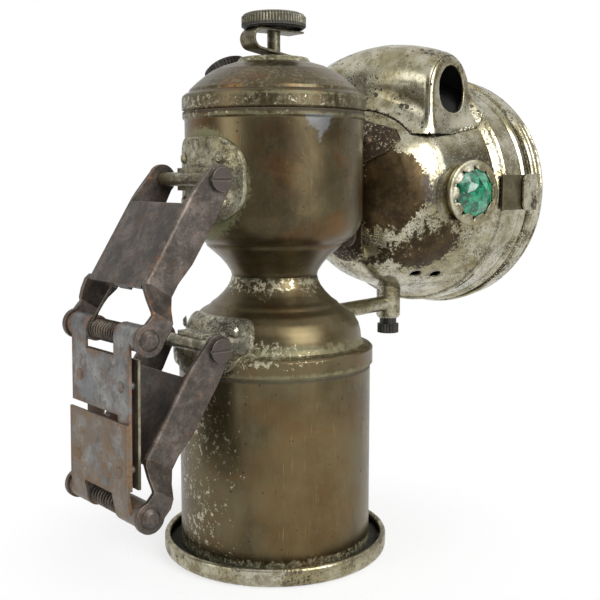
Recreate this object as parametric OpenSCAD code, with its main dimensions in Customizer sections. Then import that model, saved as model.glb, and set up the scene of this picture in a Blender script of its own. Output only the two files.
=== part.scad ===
// Carbide (acetylene) bicycle lamp: water tank over a carbide chamber, a reflector
// head with a hinged lens door, and a sprung four-bar bracket at the back.
// X points ahead from the generator's axis, Y to the rider's left, Z up.
// The origin is on the generator's axis, on the surface that the base stands on.

/* [Sheet metal] */
// Thickness of the spun and pressed brass
wall = 0.7; // [0.5:0.05:0.9]
// Gap between sleeved parts that are soldered together
solder_gap = 0.05; // [0.02:0.01:0.08]
// Radial clearance of a pin or shaft in its hole
pin_gap = 0.05; // [0.03:0.01:0.1]

/* [Carbide chamber] */
// Outer radius of the carbide chamber
chamber_r = 29.5; // [28.5:0.25:30.5]
// Height of the lower edge of the shoulder's skirt
skirt_z = 59.6; // [57:0.5:62]
// Height of the skirt on the shoulder
skirt_h = 5.2; // [4.5:0.1:6]
// Height of the neck above the skirt's lower edge
neck_rise = 26.6; // [26:0.2:28]
// Outer radius of the neck
neck_r = 13.1; // [12.6:0.1:13.6]
// Outer radius of the base tray
tray_r = 34.8; // [34.2:0.1:36]
// Height of the base tray's rim
tray_h = 5.8; // [5:0.1:6.6]
// Thickness of the sealing ring under the chamber
seal_t = 2.2; // [1.8:0.1:2.6]
// Height of the carbide cup
cup_h = 38; // [32:1:40]

/* [Water tank] */
// Outer radius of the water tank
tank_r = 26.8; // [26.3:0.1:27.3]
// Height of the tank from the neck to its cap
tank_h = 49.3; // [48:0.25:51]
// Height of the cap's straight side
cap_h = 4.6; // [4:0.1:5.2]
// Rise of the cap's dome
dome_rise = 9.1; // [8.4:0.1:9.8]
// Radius of the raised plate on the dome
plate_r = 11.2; // [10.6:0.1:11.6]
// Thickness of the raised plate
plate_t = 1.6; // [1.3:0.1:1.9]

/* [Water valve] */
// Radius of the valve spindle
spindle_r = 1.95; // [1.7:0.05:2.1]
// Clear height between the raised plate and the knob
knob_lift = 8.6; // [8.2:0.1:9.2]
// Radius of the valve knob
knob_r = 9.6; // [9:0.1:10.2]
// Height of the valve knob
knob_h = 4.7; // [4.3:0.1:5.2]
// Number of grooves round the valve knob
knob_teeth = 64; // [48:4:80]
// Width of the spring clip under the knob
clip_w = 7; // [6:0.25:7.5]
// Thickness of the spring clip
clip_t = 0.6; // [0.5:0.05:0.7]

/* [Filler] */
// Distance of the filler's middle in from the tank's side
filler_in = 9.4; // [8.8:0.1:9.6]
// Direction of the filler, counted from straight ahead towards the left
filler_turn = 107; // [105:1:125]
// Lean of the filler, square to the dome
filler_lean = 28; // [24:1:31]
// Radius of the filler cap
filler_r = 6.6; // [6.2:0.1:6.8]
// Height of the filler cap
filler_h = 3.4; // [3:0.1:3.8]
// Inner radius of the filler neck
filler_bore = 4.3; // [4:0.1:4.5]

/* [Head] */
// Angle that the head is turned from the bracket's line, towards the left
head_turn = 10; // [0:1:12]
// Height of the head's axis
head_z = 110.6; // [109:0.2:112]
// Gap between the water tank and the bowl
head_gap = 2.5; // [2:0.1:3.2]
// Radius of the bowl's round back
bowl_r = 33.2; // [32.6:0.1:33.4]
// Slope of the bowl's flank
flank_slope = 16; // [15:0.5:17]
// Radius of the straight band in front of the flank
band_r = 39.3; // [38.9:0.1:39.7]
// Distance of the band's back edge from the bowl's centre
band_out = 10.8; // [10.4:0.1:11.2]
// Length of the straight band
band_w = 14.6; // [14:0.2:15.2]
// Outer radius of the lens door
door_r = 41.4; // [41.1:0.1:42]
// Depth of the lens door
door_w = 11; // [10:0.25:12]
// Inner radius of the lens door's opening
door_open_r = 35; // [33:0.5:36]
// Rise of the lens at its middle
lens_rise = 5; // [3:0.5:6]
// Thickness of the lens
lens_t = 2.2; // [1.8:0.1:2.6]

/* [Hood] */
// Half width of the hood across the head
hood_half_w = 24.6; // [24:0.2:25.2]
// Height of the hood above the head's axis
hood_rise = 50.2; // [49:0.2:51.4]
// Half length of the hood along the head
hood_half_l = 13; // [12.6:0.1:13.4]
// Height of the side vents above the head's axis
vent_rise = 34; // [33.4:0.2:34.6]
// Radius of the side vents
vent_r = 7.7; // [7.2:0.1:8]

/* [Side lights] */
// Radius of the dished setting
dish_r = 10.8; // [10.2:0.1:11.2]
// Radius of the coloured glass
jewel_r = 7.8; // [7.2:0.1:8.2]
// Distance of the side lights behind the bowl's centre
jewel_back = 2.6; // [2.2:0.2:3]

/* [Burner and gas pipe] */
// Height of the gas pipe
pipe_z = 71.2; // [70.6:0.1:71.8]
// Outer radius of the gas pipe
pipe_r = 2.6; // [2.3:0.1:2.8]
// Outer radius of the burner tube
riser_r = 4.2; // [3.8:0.1:4.5]
// Distance of the burner behind the bowl's centre
riser_back = 1.3; // [1:0.1:1.6]
// Height of the lower end of the burner tube
riser_z = 66; // [65.4:0.1:66.6]

/* [Bracket] */
// Outer width over the arms at the rods
arm_w = 30; // [29:0.25:31]
// Outer width over the arms at the back plate
arm_end_w = 40.4; // [39.6:0.2:41.2]
// Thickness of the arms' steel
arm_t = 1.3; // [1.1:0.1:1.4]
// Distance between an arm's two holes
arm_len = 48.4; // [47.6:0.2:49]
// Lean of the arms from straight down, at rest
arm_lean = 32.5; // [31:0.5:34]
// Height of the web's face above the line of the holes
web_out = 6.1; // [5.8:0.1:6.3]
// Radius of the arms' round ends
eye_r = 4.3; // [4.1:0.1:4.5]
// Height of the upper rod
upper_rod_z = 115.2; // [114.4:0.2:116]
// Height of the lower rod
lower_rod_z = 68.2; // [67.8:0.2:68.6]
// Distance of the upper rod behind the generator's axis
upper_rod_out = 30.8; // [30.4:0.1:31.2]
// Distance of the lower rod behind the generator's axis
lower_rod_out = 31.6; // [31.4:0.1:32]
// Radius of the rods
rod_r = 2; // [1.8:0.05:2.1]
// Radius of the pins in the back plate
pin_r = 1.7; // [1.5:0.05:1.8]
// Outer radius of the rolled ends on the back plate
knuckle_r = 3.6; // [3.4:0.05:3.8]
// Thickness of the back plate's sheets
plate_sheet = 0.8; // [0.7:0.05:0.9]
// Width of the slot between the back plate's sheets
slot_t = 2.85; // [2.6:0.05:3]
// Width of the back plate
back_plate_w = 31.6; // [30.8:0.2:32.4]
// Width of the gap for a spring between two rolled ends
spring_space = 15.4; // [15:0.2:15.8]

/* [Springs] */
// Radius of the spring wire
wire_r = 0.42; // [0.36:0.02:0.46]
// Inner radius of the coils
coil_in_r = 2.2; // [2.15:0.05:2.3]
// Number of curls in each spring
coil_turns = 10; // [8:1:10]

/* [Hidden] */

round_fn = 72;
small_fn = 32;
fine_fn = 200;
far = 200;
eps = 0.01;

// Heights up the generator
seat_gap = 0.1;
chamber_z = wall + seal_t + seat_gap;
chamber_in_r = chamber_r - wall;
skirt_r = chamber_r + wall + solder_gap;
skirt_top_z = skirt_z + skirt_h;
neck_z = skirt_z + neck_rise;
cup_r = chamber_in_r - pin_gap - wall - 0.5;
tray_neck_r = chamber_in_r - pin_gap;
tray_neck_h = 6;
filter_z = skirt_z - 1.2;
filter_t = 3;

// Heights up the water tank
filler_out = tank_r - filler_in;
cap_z = neck_z + tank_h;
cap_r = tank_r + wall + solder_gap;
bead_h = 2.3;
dome_z = cap_z + cap_h;
plate_z = dome_z + dome_rise;
plate_top_z = plate_z + plate_t;
knob_z = plate_top_z + knob_lift;
seat_z = neck_z - 1;
seat_t = 2.4;
seat_hole_r = 0.9;
drip_r = 2.2;

// Head sizes, measured along the head's axis from the generator's axis
bowl_out = tank_r + head_gap + bowl_r;
shell_r = bowl_r;
flank_start = bowl_out - bowl_r * sin(flank_slope);
flank_start_r = bowl_r * cos(flank_slope);
band_x = bowl_out + band_out;
cove_x = band_x - 5;
cove_r = flank_start_r + (cove_x - flank_start) * tan(flank_slope);
band_front = band_x + band_w;
lip_r = band_r - 0.9;
lip_w = 3;
door_x = band_front + 0.4;
door_front = door_x + door_w;
door_in_r = door_r - wall - 0.5;
hinge_pin_r = 1.1;
hinge_knuckle_r = 2.3;
hinge_y = door_r + hinge_knuckle_r + 0.4;
hinge_half_h = 9;
riser_x = bowl_out - riser_back;
burner_z = head_z - 9;

// Bracket sizes
arm_half = arm_w / 2;
arm_in = arm_half - arm_t;
rod_hole_r = rod_r + pin_gap;
pin_hole_r = pin_r + pin_gap;
open_pivot_r = pin_r + 0.25;
arm_end_half = arm_end_w / 2;
arm_end_in = arm_end_half - arm_t;
barrel_half = arm_end_in - 0.3;
plate_half = back_plate_w / 2;
pin_dx = -arm_len * sin(arm_lean);
pin_dz = -arm_len * cos(arm_lean);
upper_pin_x = -upper_rod_out + pin_dx;
upper_pin_z = upper_rod_z + pin_dz;
lower_pin_x = -lower_rod_out + pin_dx;
lower_pin_z = lower_rod_z + pin_dz;
saddle_t = 1;

// Colours
brass = [0.42, 0.34, 0.22];
nickel = [0.68, 0.65, 0.55];
steel = [0.35, 0.31, 0.31];
blue_steel = [0.42, 0.44, 0.48];
dark = [0.15, 0.15, 0.15];

function unit(v) = v / norm(v);
function turned_back(p) = [for (i = [len(p) - 1 : -1 : 0]) p[i]];
// Points along an arc about c, from angle a0 to a1, in n steps
function arc(c, r, a0, a1, n) =
    [for (i = [0 : n]) c + r * [cos(a0 + (a1 - a0) * i / n), sin(a0 + (a1 - a0) * i / n)]];
// A line of points moved sideways by t, mitred at each corner
function beside(p, t) = [
    for (i = [0 : len(p) - 1])
        let (
            before = i > 0 ? unit(p[i] - p[i - 1]) : unit(p[1] - p[0]),
            after = i < len(p) - 1 ? unit(p[i + 1] - p[i]) : before,
            side = unit([before[1] + after[1], -before[0] - after[0]]),
            stretch = t / (side * [before[1], -before[0]])
        )
        p[i] + side * stretch
];
function sheet(p, t) = concat(p, turned_back(beside(p, -t)));

// A spun sheet about the vertical axis: p is its outer line, upward
module spun(p, t = wall) {
    rotate_extrude($fn = round_fn)
        polygon(sheet(p, t));
}
// Sets its children in the head's own place and direction
module on_head() {
    rotate([0, 0, head_turn])
        translate([0, 0, head_z])
            children();
}
// Turned about the head's axis: p gives radius and distance ahead
module head_turned(p, fn = round_fn) {
    on_head()
        rotate([0, 90, 0])
            rotate_extrude($fn = fn)
                polygon(p);
}
// A pin along Y
module cross_pin(x, z, r, y0, y1) {
    translate([x, y1, z])
        rotate([90, 0, 0])
            cylinder(r = r, h = y1 - y0, $fn = small_fn);
}
// A rounded rectangle in the YZ plane, thick along X
module yz_plate(x0, x1, half_y, z0, z1, r) {
    translate([x0, 0, 0])
        rotate([90, 0, 90])
            linear_extrude(x1 - x0)
                rounded_box(half_y, z0, z1, r);
}
module rounded_box(half_w, y0, y1, r) {
    translate([-half_w + r, y0])
        square([2 * (half_w - r), y1 - y0]);
    translate([-half_w, y0 + r])
        square([2 * half_w, y1 - y0 - 2 * r]);
    for (x = [-half_w + r, half_w - r], y = [y0 + r, y1 - r])
        translate([x, y])
            circle(r, $fn = small_fn);
}
// A wheel with fine grooves
module grooved_disc(r, h, teeth, depth) {
    linear_extrude(h)
        polygon([
            for (i = [0 : 2 * teeth - 1])
                (r - (i % 2) * depth) * [cos(180 * i / teeth), sin(180 * i / teeth)]
        ]);
}

// Base and carbide chamber

module base_tray() {
    color(nickel)
    union() {
        spun(concat(
            [[0, 0], [tray_r - 2.4, 0]],
            arc([tray_r - 2.2, 2.2], 2.2, -75, 0, 6),
            [[tray_r, tray_h - 0.9]]));
        translate([0, 0, tray_h - 0.9])
            rotate_extrude($fn = round_fn)
                translate([tray_r - 0.9, 0])
                    circle(0.9, $fn = 24);
        difference() {
            translate([0, 0, wall / 2])
                cylinder(r = tray_neck_r, h = tray_neck_h, $fn = round_fn);
            translate([0, 0, wall / 4])
                cylinder(r = tray_neck_r - wall, h = tray_neck_h + 1, $fn = round_fn);
        }
    }
}
module base_seal() {
    color([0.35, 0.4, 0.3])
    difference() {
        translate([0, 0, wall])
            cylinder(r = tray_r - 2.2, h = seal_t, $fn = round_fn);
        translate([0, 0, -1])
            cylinder(r = tray_neck_r, h = far, $fn = round_fn);
    }
}
module carbide_cup() {
    color([0.5, 0.5, 0.48])
    union() {
        translate([0, 0, wall])
            spun([[0, 0], [cup_r - 1.5, 0], [cup_r, 1.5], [cup_r, cup_h]]);
        translate([0, 0, wall + cup_h])
            rotate_extrude($fn = round_fn)
                translate([cup_r - wall / 2, 0])
                    circle(0.6, $fn = 16);
    }
}
module carbide_chamber() {
    color(brass)
    spun([[chamber_r, chamber_z], [chamber_r, skirt_top_z - wall - 0.6]]);
}
// Outer line of the shoulder from the skirt to the neck
shoulder_line = [
    [skirt_r, skirt_z],
    [skirt_r, skirt_top_z - 0.6],
    [skirt_r - 0.6, skirt_top_z],
    [chamber_r - 2.2, skirt_top_z + 0.7],
    [chamber_r - 2.8, skirt_top_z + 2.2],
    [chamber_r - 3, skirt_top_z + 4.2],
    [chamber_r - 3.6, skirt_top_z + 6.6],
    [chamber_r - 4.9, skirt_top_z + 8.8],
    [chamber_r - 7, skirt_top_z + 10.8],
    [chamber_r - 9.6, skirt_top_z + 12.3],
    [chamber_r - 10.1, skirt_top_z + 13],
    [neck_r + 4.6, neck_z - 7.2],
    [neck_r + 2.6, neck_z - 5.2],
    [neck_r + 1.1, neck_z - 3.2],
    [neck_r + 0.3, neck_z - 1.4],
    [neck_r, neck_z]
];
module generator_shoulder() {
    color(brass)
    difference() {
        spun(shoulder_line);
        rotate([0, 0, head_turn])
            translate([0, 0, pipe_z])
                rotate([0, 90, 0])
                    cylinder(r = pipe_r + solder_gap, h = far, $fn = small_fn);
    }
}
// Perforated plate that keeps the charge out of the gas way
module filter_plate() {
    color(nickel)
    difference() {
        translate([0, 0, filter_z - 0.8])
            cylinder(r = chamber_in_r - solder_gap, h = 0.8, $fn = round_fn);
        cylinder(r = drip_r + solder_gap, h = far, $fn = small_fn);
        for (ring = [1 : 3], i = [0 : 6 * ring - 1])
            rotate([0, 0, 60 * i / ring + 15])
                translate([4 + ring * 6, 0, 0])
                    cylinder(r = 0.9, h = far, $fn = 16);
    }
}
module gas_filter() {
    color([0.7, 0.66, 0.55])
    difference() {
        translate([0, 0, filter_z])
            cylinder(r = chamber_in_r - 2, h = filter_t, $fn = round_fn);
        cylinder(r = drip_r + solder_gap, h = far, $fn = small_fn);
    }
}

// Water tank and its valve

tank_line = concat(
    [[neck_r, neck_z + 0.02],
     [neck_r + 0.3, neck_z + 1.2],
     [neck_r + 1.6, neck_z + 3.3],
     [neck_r + 3.4, neck_z + 5.4],
     [neck_r + 5.4, neck_z + 7.2],
     [tank_r - 6.2, neck_z + 9]],
    arc([tank_r - 9.4, neck_z + 18.6], 9.4, -68, 0, 7),
    [[tank_r, cap_z - bead_h - 0.8],
     [tank_r + 0.6, cap_z - bead_h - 0.2],
     [tank_r + 0.6, cap_z - 0.8],
     [tank_r, cap_z - 0.3],
     [tank_r, cap_z + cap_h - wall - 1.4]]);
module water_tank() {
    color(brass)
    spun(tank_line);
}
module valve_seat() {
    color(brass)
    difference() {
        union() {
            translate([0, 0, seat_z])
                cylinder(r = neck_r - wall - solder_gap, h = seat_t, $fn = round_fn);
            translate([0, 0, seat_z])
                cylinder(r = 4.5, h = seat_t + 1.6, $fn = small_fn);
        }
        cylinder(r = seat_hole_r, h = far, $fn = small_fn);
        translate([0, 0, seat_z + seat_t - 0.4])
            cylinder(r1 = seat_hole_r, r2 = seat_hole_r + 2.2, h = 2.01, $fn = small_fn);
    }
}
module drip_tube() {
    color(brass)
    difference() {
        translate([0, 0, wall + cup_h + 5])
            cylinder(r = drip_r, h = seat_z - wall - cup_h - 5, $fn = small_fn);
        cylinder(r = drip_r - 0.6, h = far, $fn = small_fn);
    }
}
// Outer line of the cap's side and dome, up to the flat under the raised plate
cap_line = [
    [cap_r, cap_z],
    [cap_r, dome_z - 1.5],
    [cap_r - 0.3, dome_z - 0.6],
    [cap_r - 1, dome_z],
    [cap_r - 2, dome_z + 0.35],
    [25.2 / 27.55 * cap_r, dome_z + 1.3],
    [23.2 / 27.55 * cap_r, dome_z + 3.2],
    [21 / 27.55 * cap_r, dome_z + 5],
    [18.6 / 27.55 * cap_r, dome_z + 6.7],
    [15.4 / 27.55 * cap_r, dome_z + 8.2],
    [12.4 / 27.55 * cap_r, dome_z + dome_rise],
    [spindle_r + 1.6, dome_z + dome_rise]
];
module tank_cap() {
    color(brass)
    difference() {
        spun(cap_line);
        on_filler()
            translate([0, 0, -6])
                cylinder(r = filler_bore + wall + solder_gap, h = 10, $fn = small_fn);
    }
}
module valve_plate() {
    color(nickel)
    difference() {
        union() {
            translate([0, 0, plate_z])
                rotate_extrude($fn = round_fn)
                    polygon([[0, 0], [plate_r, 0], [plate_r - 0.2, 0.5], [plate_r - 1, plate_t], [0, plate_t]]);
            translate([0, 0, plate_z - 5])
                cylinder(r = spindle_r + 1.5, h = 5, $fn = small_fn);
        }
        cylinder(r = spindle_r + pin_gap, h = far, $fn = small_fn);
    }
}
module valve_spindle() {
    color(nickel)
    union() {
        translate([0, 0, seat_z + seat_t + 2.2])
            cylinder(r = spindle_r, h = knob_z + 2 - seat_z - seat_t - 2.2, $fn = small_fn);
        translate([0, 0, seat_z + seat_t + 0.4])
            cylinder(r1 = 0.5, r2 = spindle_r, h = 1.8, $fn = small_fn);
    }
}
module valve_knob() {
    color(nickel)
    difference() {
        union() {
            translate([0, 0, knob_z + 0.5])
                grooved_disc(knob_r, knob_h - 1.8, knob_teeth, 0.28);
            translate([0, 0, knob_z])
                cylinder(r1 = knob_r - 0.7, r2 = knob_r - 0.2, h = 0.6, $fn = round_fn);
            translate([0, 0, knob_z])
                rotate_extrude($fn = round_fn)
                    polygon(concat(
                        [[0, 2]],
                        [[knob_r - 0.2, knob_h - 1.4], [knob_r - 0.6, knob_h - 0.7],
                         [knob_r - 1.6, knob_h - 0.25], [knob_r - 3.2, knob_h]],
                        [[knob_r - 5, knob_h - 0.3], [0, knob_h - 0.6]]));
        }
        translate([0, 0, knob_z - 1])
            difference() {
                cylinder(r = knob_r - 1.2, h = 3, $fn = round_fn);
                cylinder(r = spindle_r + 1.4, h = far, $fn = small_fn);
            }
        translate([0, 0, knob_z - 1])
            cylinder(r = spindle_r, h = 3, $fn = small_fn);
    }
}
clip_mid_r = 2.8;
clip_bend_x = -6.8;
clip_top_z = knob_z - 0.6;
clip_bend_z = clip_top_z - clip_mid_r;
clip_leaf = 13.6;
clip_slope = asin((clip_bend_z - plate_top_z - clip_mid_r - clip_t / 2 - 0.03) / clip_leaf);
// Flat spring bent to a U, both leaves pierced by the spindle
module knob_clip() {
    color(nickel)
    difference() {
        rotate([90, 0, 0])
            linear_extrude(clip_w, center = true) {
                translate([clip_bend_x, clip_top_z - clip_t / 2])
                    square([15.6, clip_t]);
                translate([clip_bend_x, clip_bend_z])
                    difference() {
                        circle(clip_mid_r + clip_t / 2, $fn = 48);
                        circle(clip_mid_r - clip_t / 2, $fn = 48);
                        translate([0, -far])
                            square(2 * far);
                    }
                translate([clip_bend_x, clip_bend_z])
                    rotate(-clip_slope)
                        translate([0, -clip_mid_r - clip_t / 2])
                            square([clip_leaf, clip_t]);
            }
        translate([0, 0, plate_top_z - 1])
            cylinder(r = spindle_r + 0.25, h = far, $fn = small_fn);
    }
}

// Filler

dome_height_there = dome_z + 7.3;
module on_filler() {
    rotate([0, 0, filler_turn])
        translate([filler_out, 0, dome_height_there])
            rotate([0, filler_lean, 0])
                children();
}
module filler_neck() {
    color(brass)
    on_filler()
        difference() {
            translate([0, 0, -3])
                cylinder(r = filler_bore + wall, h = 4.2, $fn = small_fn);
            translate([0, 0, -5])
                cylinder(r = filler_bore, h = 9, $fn = small_fn);
        }
}
module filler_washer() {
    color([0.3, 0.2, 0.12])
    on_filler()
        translate([0, 0, 1.25])
            cylinder(r = filler_bore + wall + 0.15, h = 0.8, $fn = small_fn);
}
module filler_cap() {
    color(dark)
    on_filler()
        difference() {
            union() {
                translate([0, 0, 2.1 + 0.9 - filler_h])
                    grooved_disc(filler_r, filler_h - 0.6, 40, 0.35);
                translate([0, 0, 2.4])
                    cylinder(r1 = filler_r - 0.4, r2 = filler_r - 1.2, h = 0.6, $fn = small_fn);
            }
            translate([0, 0, -5])
                cylinder(r = filler_bore + wall + 0.3, h = 5 + 2.1, $fn = small_fn);
            hull() {
                translate([0, 0, -5])
                    cylinder(r = filler_r + 1, h = 5.3, $fn = 24);
                translate([0, 0, -8])
                    cylinder(r = 1, h = 1, $fn = 24);
            }
        }
}

// Head

// Outer line of the bowl: radius, distance ahead
bowl_line = concat(
    [for (a = [2 : 6 : 90 - flank_slope - 1]) [bowl_r * sin(a), bowl_out - bowl_r * cos(a)]],
    [[flank_start_r, flank_start],
     [cove_r, cove_x],
     [cove_r + 0.45, cove_x + 1.6],
     [band_r - 1.3, band_x - 1.6],
     [band_r - 0.5, band_x - 0.7],
     [band_r, band_x],
     [band_r + 0.3, band_front - 4.2],
     [band_r + 1, band_front - 3.4],
     [band_r + 1.3, band_front - 2.2],
     [band_r + 1, band_front - 1],
     [band_r - 0.2, band_front - 0.2],
     [lip_r, band_front],
     [lip_r, band_front + lip_w]]);
module bowl_solid(extra = 0, fn = round_fn) {
    moved = beside(bowl_line, extra);
    head_turned(concat([[0, moved[0][1]]], moved, [[0, band_front + lip_w]]), fn);
}
// Place on the bowl: distance ahead, angle from straight down towards the left
module at_bowl(x, r, a) {
    on_head()
        rotate([a, 0, 0])
            translate([x, 0, -r])
                children();
}
// Round finger hollow under the catch, in the right flank
hollow_r = 9;
hollow_depth = 1.3;
module on_finger_hollow() {
    on_head()
        translate([bowl_out + 0.6, 0, 0])
            rotate([90, 0, 0])
                rotate([0, -flank_slope, 0])
                    translate([0, 0, bowl_r])
                        children();
}
module head_bowl() {
    color(nickel)
    difference() {
        union() {
            difference() {
                head_turned(sheet(bowl_line, wall));
                on_finger_hollow()
                    translate([0, 0, -4])
                        cylinder(r = hollow_r + 0.15, h = 8, $fn = small_fn);
            }
            intersection() {
                bowl_solid(-0.05);
                on_finger_hollow()
                    difference() {
                        translate([0, 0, -hollow_depth - wall])
                            cylinder(r = hollow_r + 0.5, h = 4, $fn = small_fn);
                        translate([0, 0, -hollow_depth])
                            cylinder(r = hollow_r - 0.15, h = 4, $fn = small_fn);
                    }
            }
        }
        // Heat way up into the hood
        on_head()
            translate([riser_x, 0, 10])
                cylinder(r = 11, h = 60, $fn = round_fn);
        // Hole for the burner tube
        rotate([0, 0, head_turn])
            translate([riser_x, 0, 0])
                cylinder(r = riser_r + solder_gap, h = head_z, $fn = small_fn);
        // Air holes and slots low in the bowl
        for (side = [-1, 1]) {
            for (place = [[bowl_out - 9, 31], [bowl_out - 1.6, 35]])
                at_bowl(place[0], bowl_r, side * place[1])
                    cylinder(r = 2, h = 12, center = true, $fn = small_fn);
            at_bowl(band_x + 0.6, band_r - 1.3, side * 37)
                cube([1.1, 9, 8], center = true);
        }
        // Holes behind the side lights
        for (side = [-1, 1])
            on_side_light(side)
                translate([0, 0, -8])
                    cylinder(r = jewel_r - 0.6, h = 12, $fn = small_fn);
    }
}
function dish_x(r) = bowl_out - 12.5 + r * r / 40;
reflector_rim_r = lip_r - wall - 0.1;
reflector_line = concat(
    [for (r = [4 : 3 : 36]) [r, dish_x(r)]],
    [[reflector_rim_r - 0.4, dish_x(reflector_rim_r) + 0.4],
     [reflector_rim_r, dish_x(reflector_rim_r) + 1.2],
     [reflector_rim_r, band_front + lip_w + 0.6]]);
module reflector() {
    color([0.8, 0.8, 0.78])
    difference() {
        union() {
            head_turned(sheet(reflector_line, 0.5));
            // Rim that lies on the bowl's lip
            on_head()
                rotate([0, 90, 0])
                    translate([0, 0, band_front + lip_w + 0.02])
                        difference() {
                            cylinder(r = lip_r, h = 0.58, $fn = round_fn);
                            translate([0, 0, -1])
                                cylinder(r = reflector_rim_r - 0.3, h = 3, $fn = round_fn);
                        }
        }
        rotate([0, 0, head_turn])
            translate([riser_x, 0, 0])
                cylinder(r = riser_r + 1.2, h = head_z, $fn = small_fn);
        on_head()
            translate([riser_x + 2, 0, 4])
                cylinder(r = 9, h = 60, $fn = round_fn);
        for (side = [-1, 1])
            on_side_light(side)
                translate([0, 0, -30])
                    cylinder(r = 6, h = 30, $fn = small_fn);
    }
}
// The hood lies across the head like a short barrel; the form is drawn in by t
module hood_disc(y, r, z) {
    translate([riser_x, y, z])
        rotate([90, 0, 0])
            cylinder(r = r, h = 0.4, center = true, $fn = 32);
}
module hood_form(t) {
    on_head()
        hull() {
            for (side = [-1, 1]) {
                hood_disc(side * (hood_half_w - t - 0.2), hood_half_l - 1.2 - t, vent_rise - 1);
                hood_disc(side * (hood_half_w - 2 - t), hood_half_l - t, vent_rise - 1);
                hood_disc(side * hood_half_w * 0.48, hood_half_l + 1 - t, hood_rise - hood_half_l - 2.2);
                hood_disc(side * hood_half_w * 0.2, hood_half_l + 1.7 - t, hood_rise - hood_half_l - 1.7);
            }
            translate([riser_x - hood_half_l + t, -hood_half_w + 1.4 + t, 8])
                cube([2 * (hood_half_l - t), 2 * (hood_half_w - 1.4 - t), vent_rise - 10]);
            translate([riser_x - hood_half_l + 1.2 + t, -hood_half_w + t, 8])
                cube([2 * (hood_half_l - 1.2 - t), 2 * (hood_half_w - t), vent_rise - 10]);
        }
}
hood_skirt_t = 0.6;
// Outline of the hood's skirt seen from above, one side
skirt_edge = [
    [riser_x + 18, 24], [riser_x + 17, 27.8], [riser_x + 13, 29.8], [riser_x + 9, 30],
    [riser_x + 3.6, 28.9], [riser_x - 7, 26.4], [riser_x - 13.6, 25],
    [riser_x - 16.4, 23.6], [riser_x - 17.6, 21]];
module hood() {
    color(nickel)
    difference() {
        union() {
            difference() {
                hood_form(0);
                hood_form(wall);
            }
            intersection() {
                bowl_solid(hood_skirt_t);
                on_head()
                    translate([0, 0, 10])
                        linear_extrude(60)
                            polygon(concat(skirt_edge,
                                [for (p = turned_back(skirt_edge)) [p[0], -p[1]]]));
            }
        }
        bowl_solid(0.02);
        hood_form(wall);
        on_head()
            translate([riser_x, 0, vent_rise])
                rotate([90, 0, 0])
                    cylinder(r = vent_r, h = 2 * hood_half_w + 2, center = true, $fn = small_fn);
    }
}

// Yoke between the tank and the bowl

module head_yoke() {
    color(brass)
    union() {
        // Plate on the tank
        intersection() {
            rotate([0, 0, head_turn])
                yz_plate(0, far, 13, head_z - 17, cap_z - bead_h - 1.5, 5);
            difference() {
                cylinder(r = tank_r + 1, h = far, $fn = fine_fn);
                cylinder(r = tank_r + 0.02, h = far, $fn = fine_fn);
            }
        }
        // Ears on the bowl
        intersection() {
            yoke_ears();
            difference() {
                on_head()
                    translate([bowl_out, 0, 0])
                        sphere(bowl_r + 0.9, $fn = fine_fn);
                on_head()
                    translate([bowl_out, 0, 0])
                        sphere(bowl_r + 0.02, $fn = fine_fn);
            }
        }
        // Middle, between the tank and the bowl
        difference() {
            on_head()
                translate([tank_r - 2, -9, -12])
                    cube([6, 18, 22]);
            cylinder(r = tank_r + 0.5, h = far, $fn = fine_fn);
            on_head()
                translate([bowl_out, 0, 0])
                    sphere(bowl_r + 0.4, $fn = fine_fn);
        }
    }
}
module yoke_ears() {
    on_head()
        rotate([90, 0, 90])
            linear_extrude(bowl_out - 18) {
                for (side = [-1, 1]) {
                    translate([side * 10.2, 16.7])
                        circle(5.4, $fn = small_fn);
                    polygon([[side * 4, 24], [side * 16, 20.5], [side * 18.6, 17], [side * 16, 13], [side * 4, 6]]);
                }
                translate([-7, -16])
                    square([14, 36]);
                translate([0, -16])
                    circle(7, $fn = small_fn);
                polygon([[-10, -10], [-7, -20], [7, -20], [10, -10]]);
            }
}
module yoke_rivets() {
    color(nickel)
    for (place = [[-10.2, 16.7], [10.2, 16.7], [0, -17.6]])
        on_head()
            translate([bowl_out, 0, 0])
                rotate([0, 0, asin(-place[0] / bowl_r)])
                    rotate([0, asin(place[1] / bowl_r), 0])
                        translate([-bowl_r - 0.92, 0, 0])
                            rotate([0, -90, 0])
                                cylinder(r1 = 2.1, r2 = 1.1, h = 0.9, $fn = small_fn);
}

// Side lights

// side is -1 on the right, 1 on the left
module on_side_light(side) {
    on_head()
        translate([bowl_out - jewel_back, side * (bowl_r + 1.6), 0])
            rotate([-side * 90, 0, 0])
                rotate([0, -flank_slope - 1, 0])
                    children();
}
module light_setting(side) {
    difference() {
        on_side_light(side)
            difference() {
                rotate_extrude($fn = 48)
                    polygon([[jewel_r - 0.4, -4], [dish_r - 1, -4], [dish_r, -0.6], [dish_r - 0.5, 0.1],
                             [dish_r - 1.6, -0.5], [jewel_r + 0.5, -0.6], [jewel_r + 0.5, 1.2],
                             [jewel_r - 0.1, 1.2], [jewel_r - 0.4, -0.8]]);
                for (i = [0 : 9])
                    rotate([0, 0, 36 * i])
                        translate([jewel_r + 0.4, 0, 1.4])
                            cylinder(r = 1.3, h = 3, center = true, $fn = 16);
            }
        bowl_solid(0.02, fine_fn);
    }
}
module side_jewel(side) {
    on_side_light(side)
        union() {
            translate([0, 0, -0.9])
                cylinder(r = jewel_r - 0.5, h = 1.3, $fn = 10);
            translate([0, 0, 0.4])
                cylinder(r1 = jewel_r - 0.5, r2 = jewel_r - 3, h = 1.8, $fn = 10);
            translate([0, 0, 2.2])
                cylinder(r1 = jewel_r - 3, r2 = 1.6, h = 0.9, $fn = 10);
        }
}
module green_setting() {
    color(nickel)
    light_setting(-1);
}
module red_setting() {
    color(nickel)
    light_setting(1);
}
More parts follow.
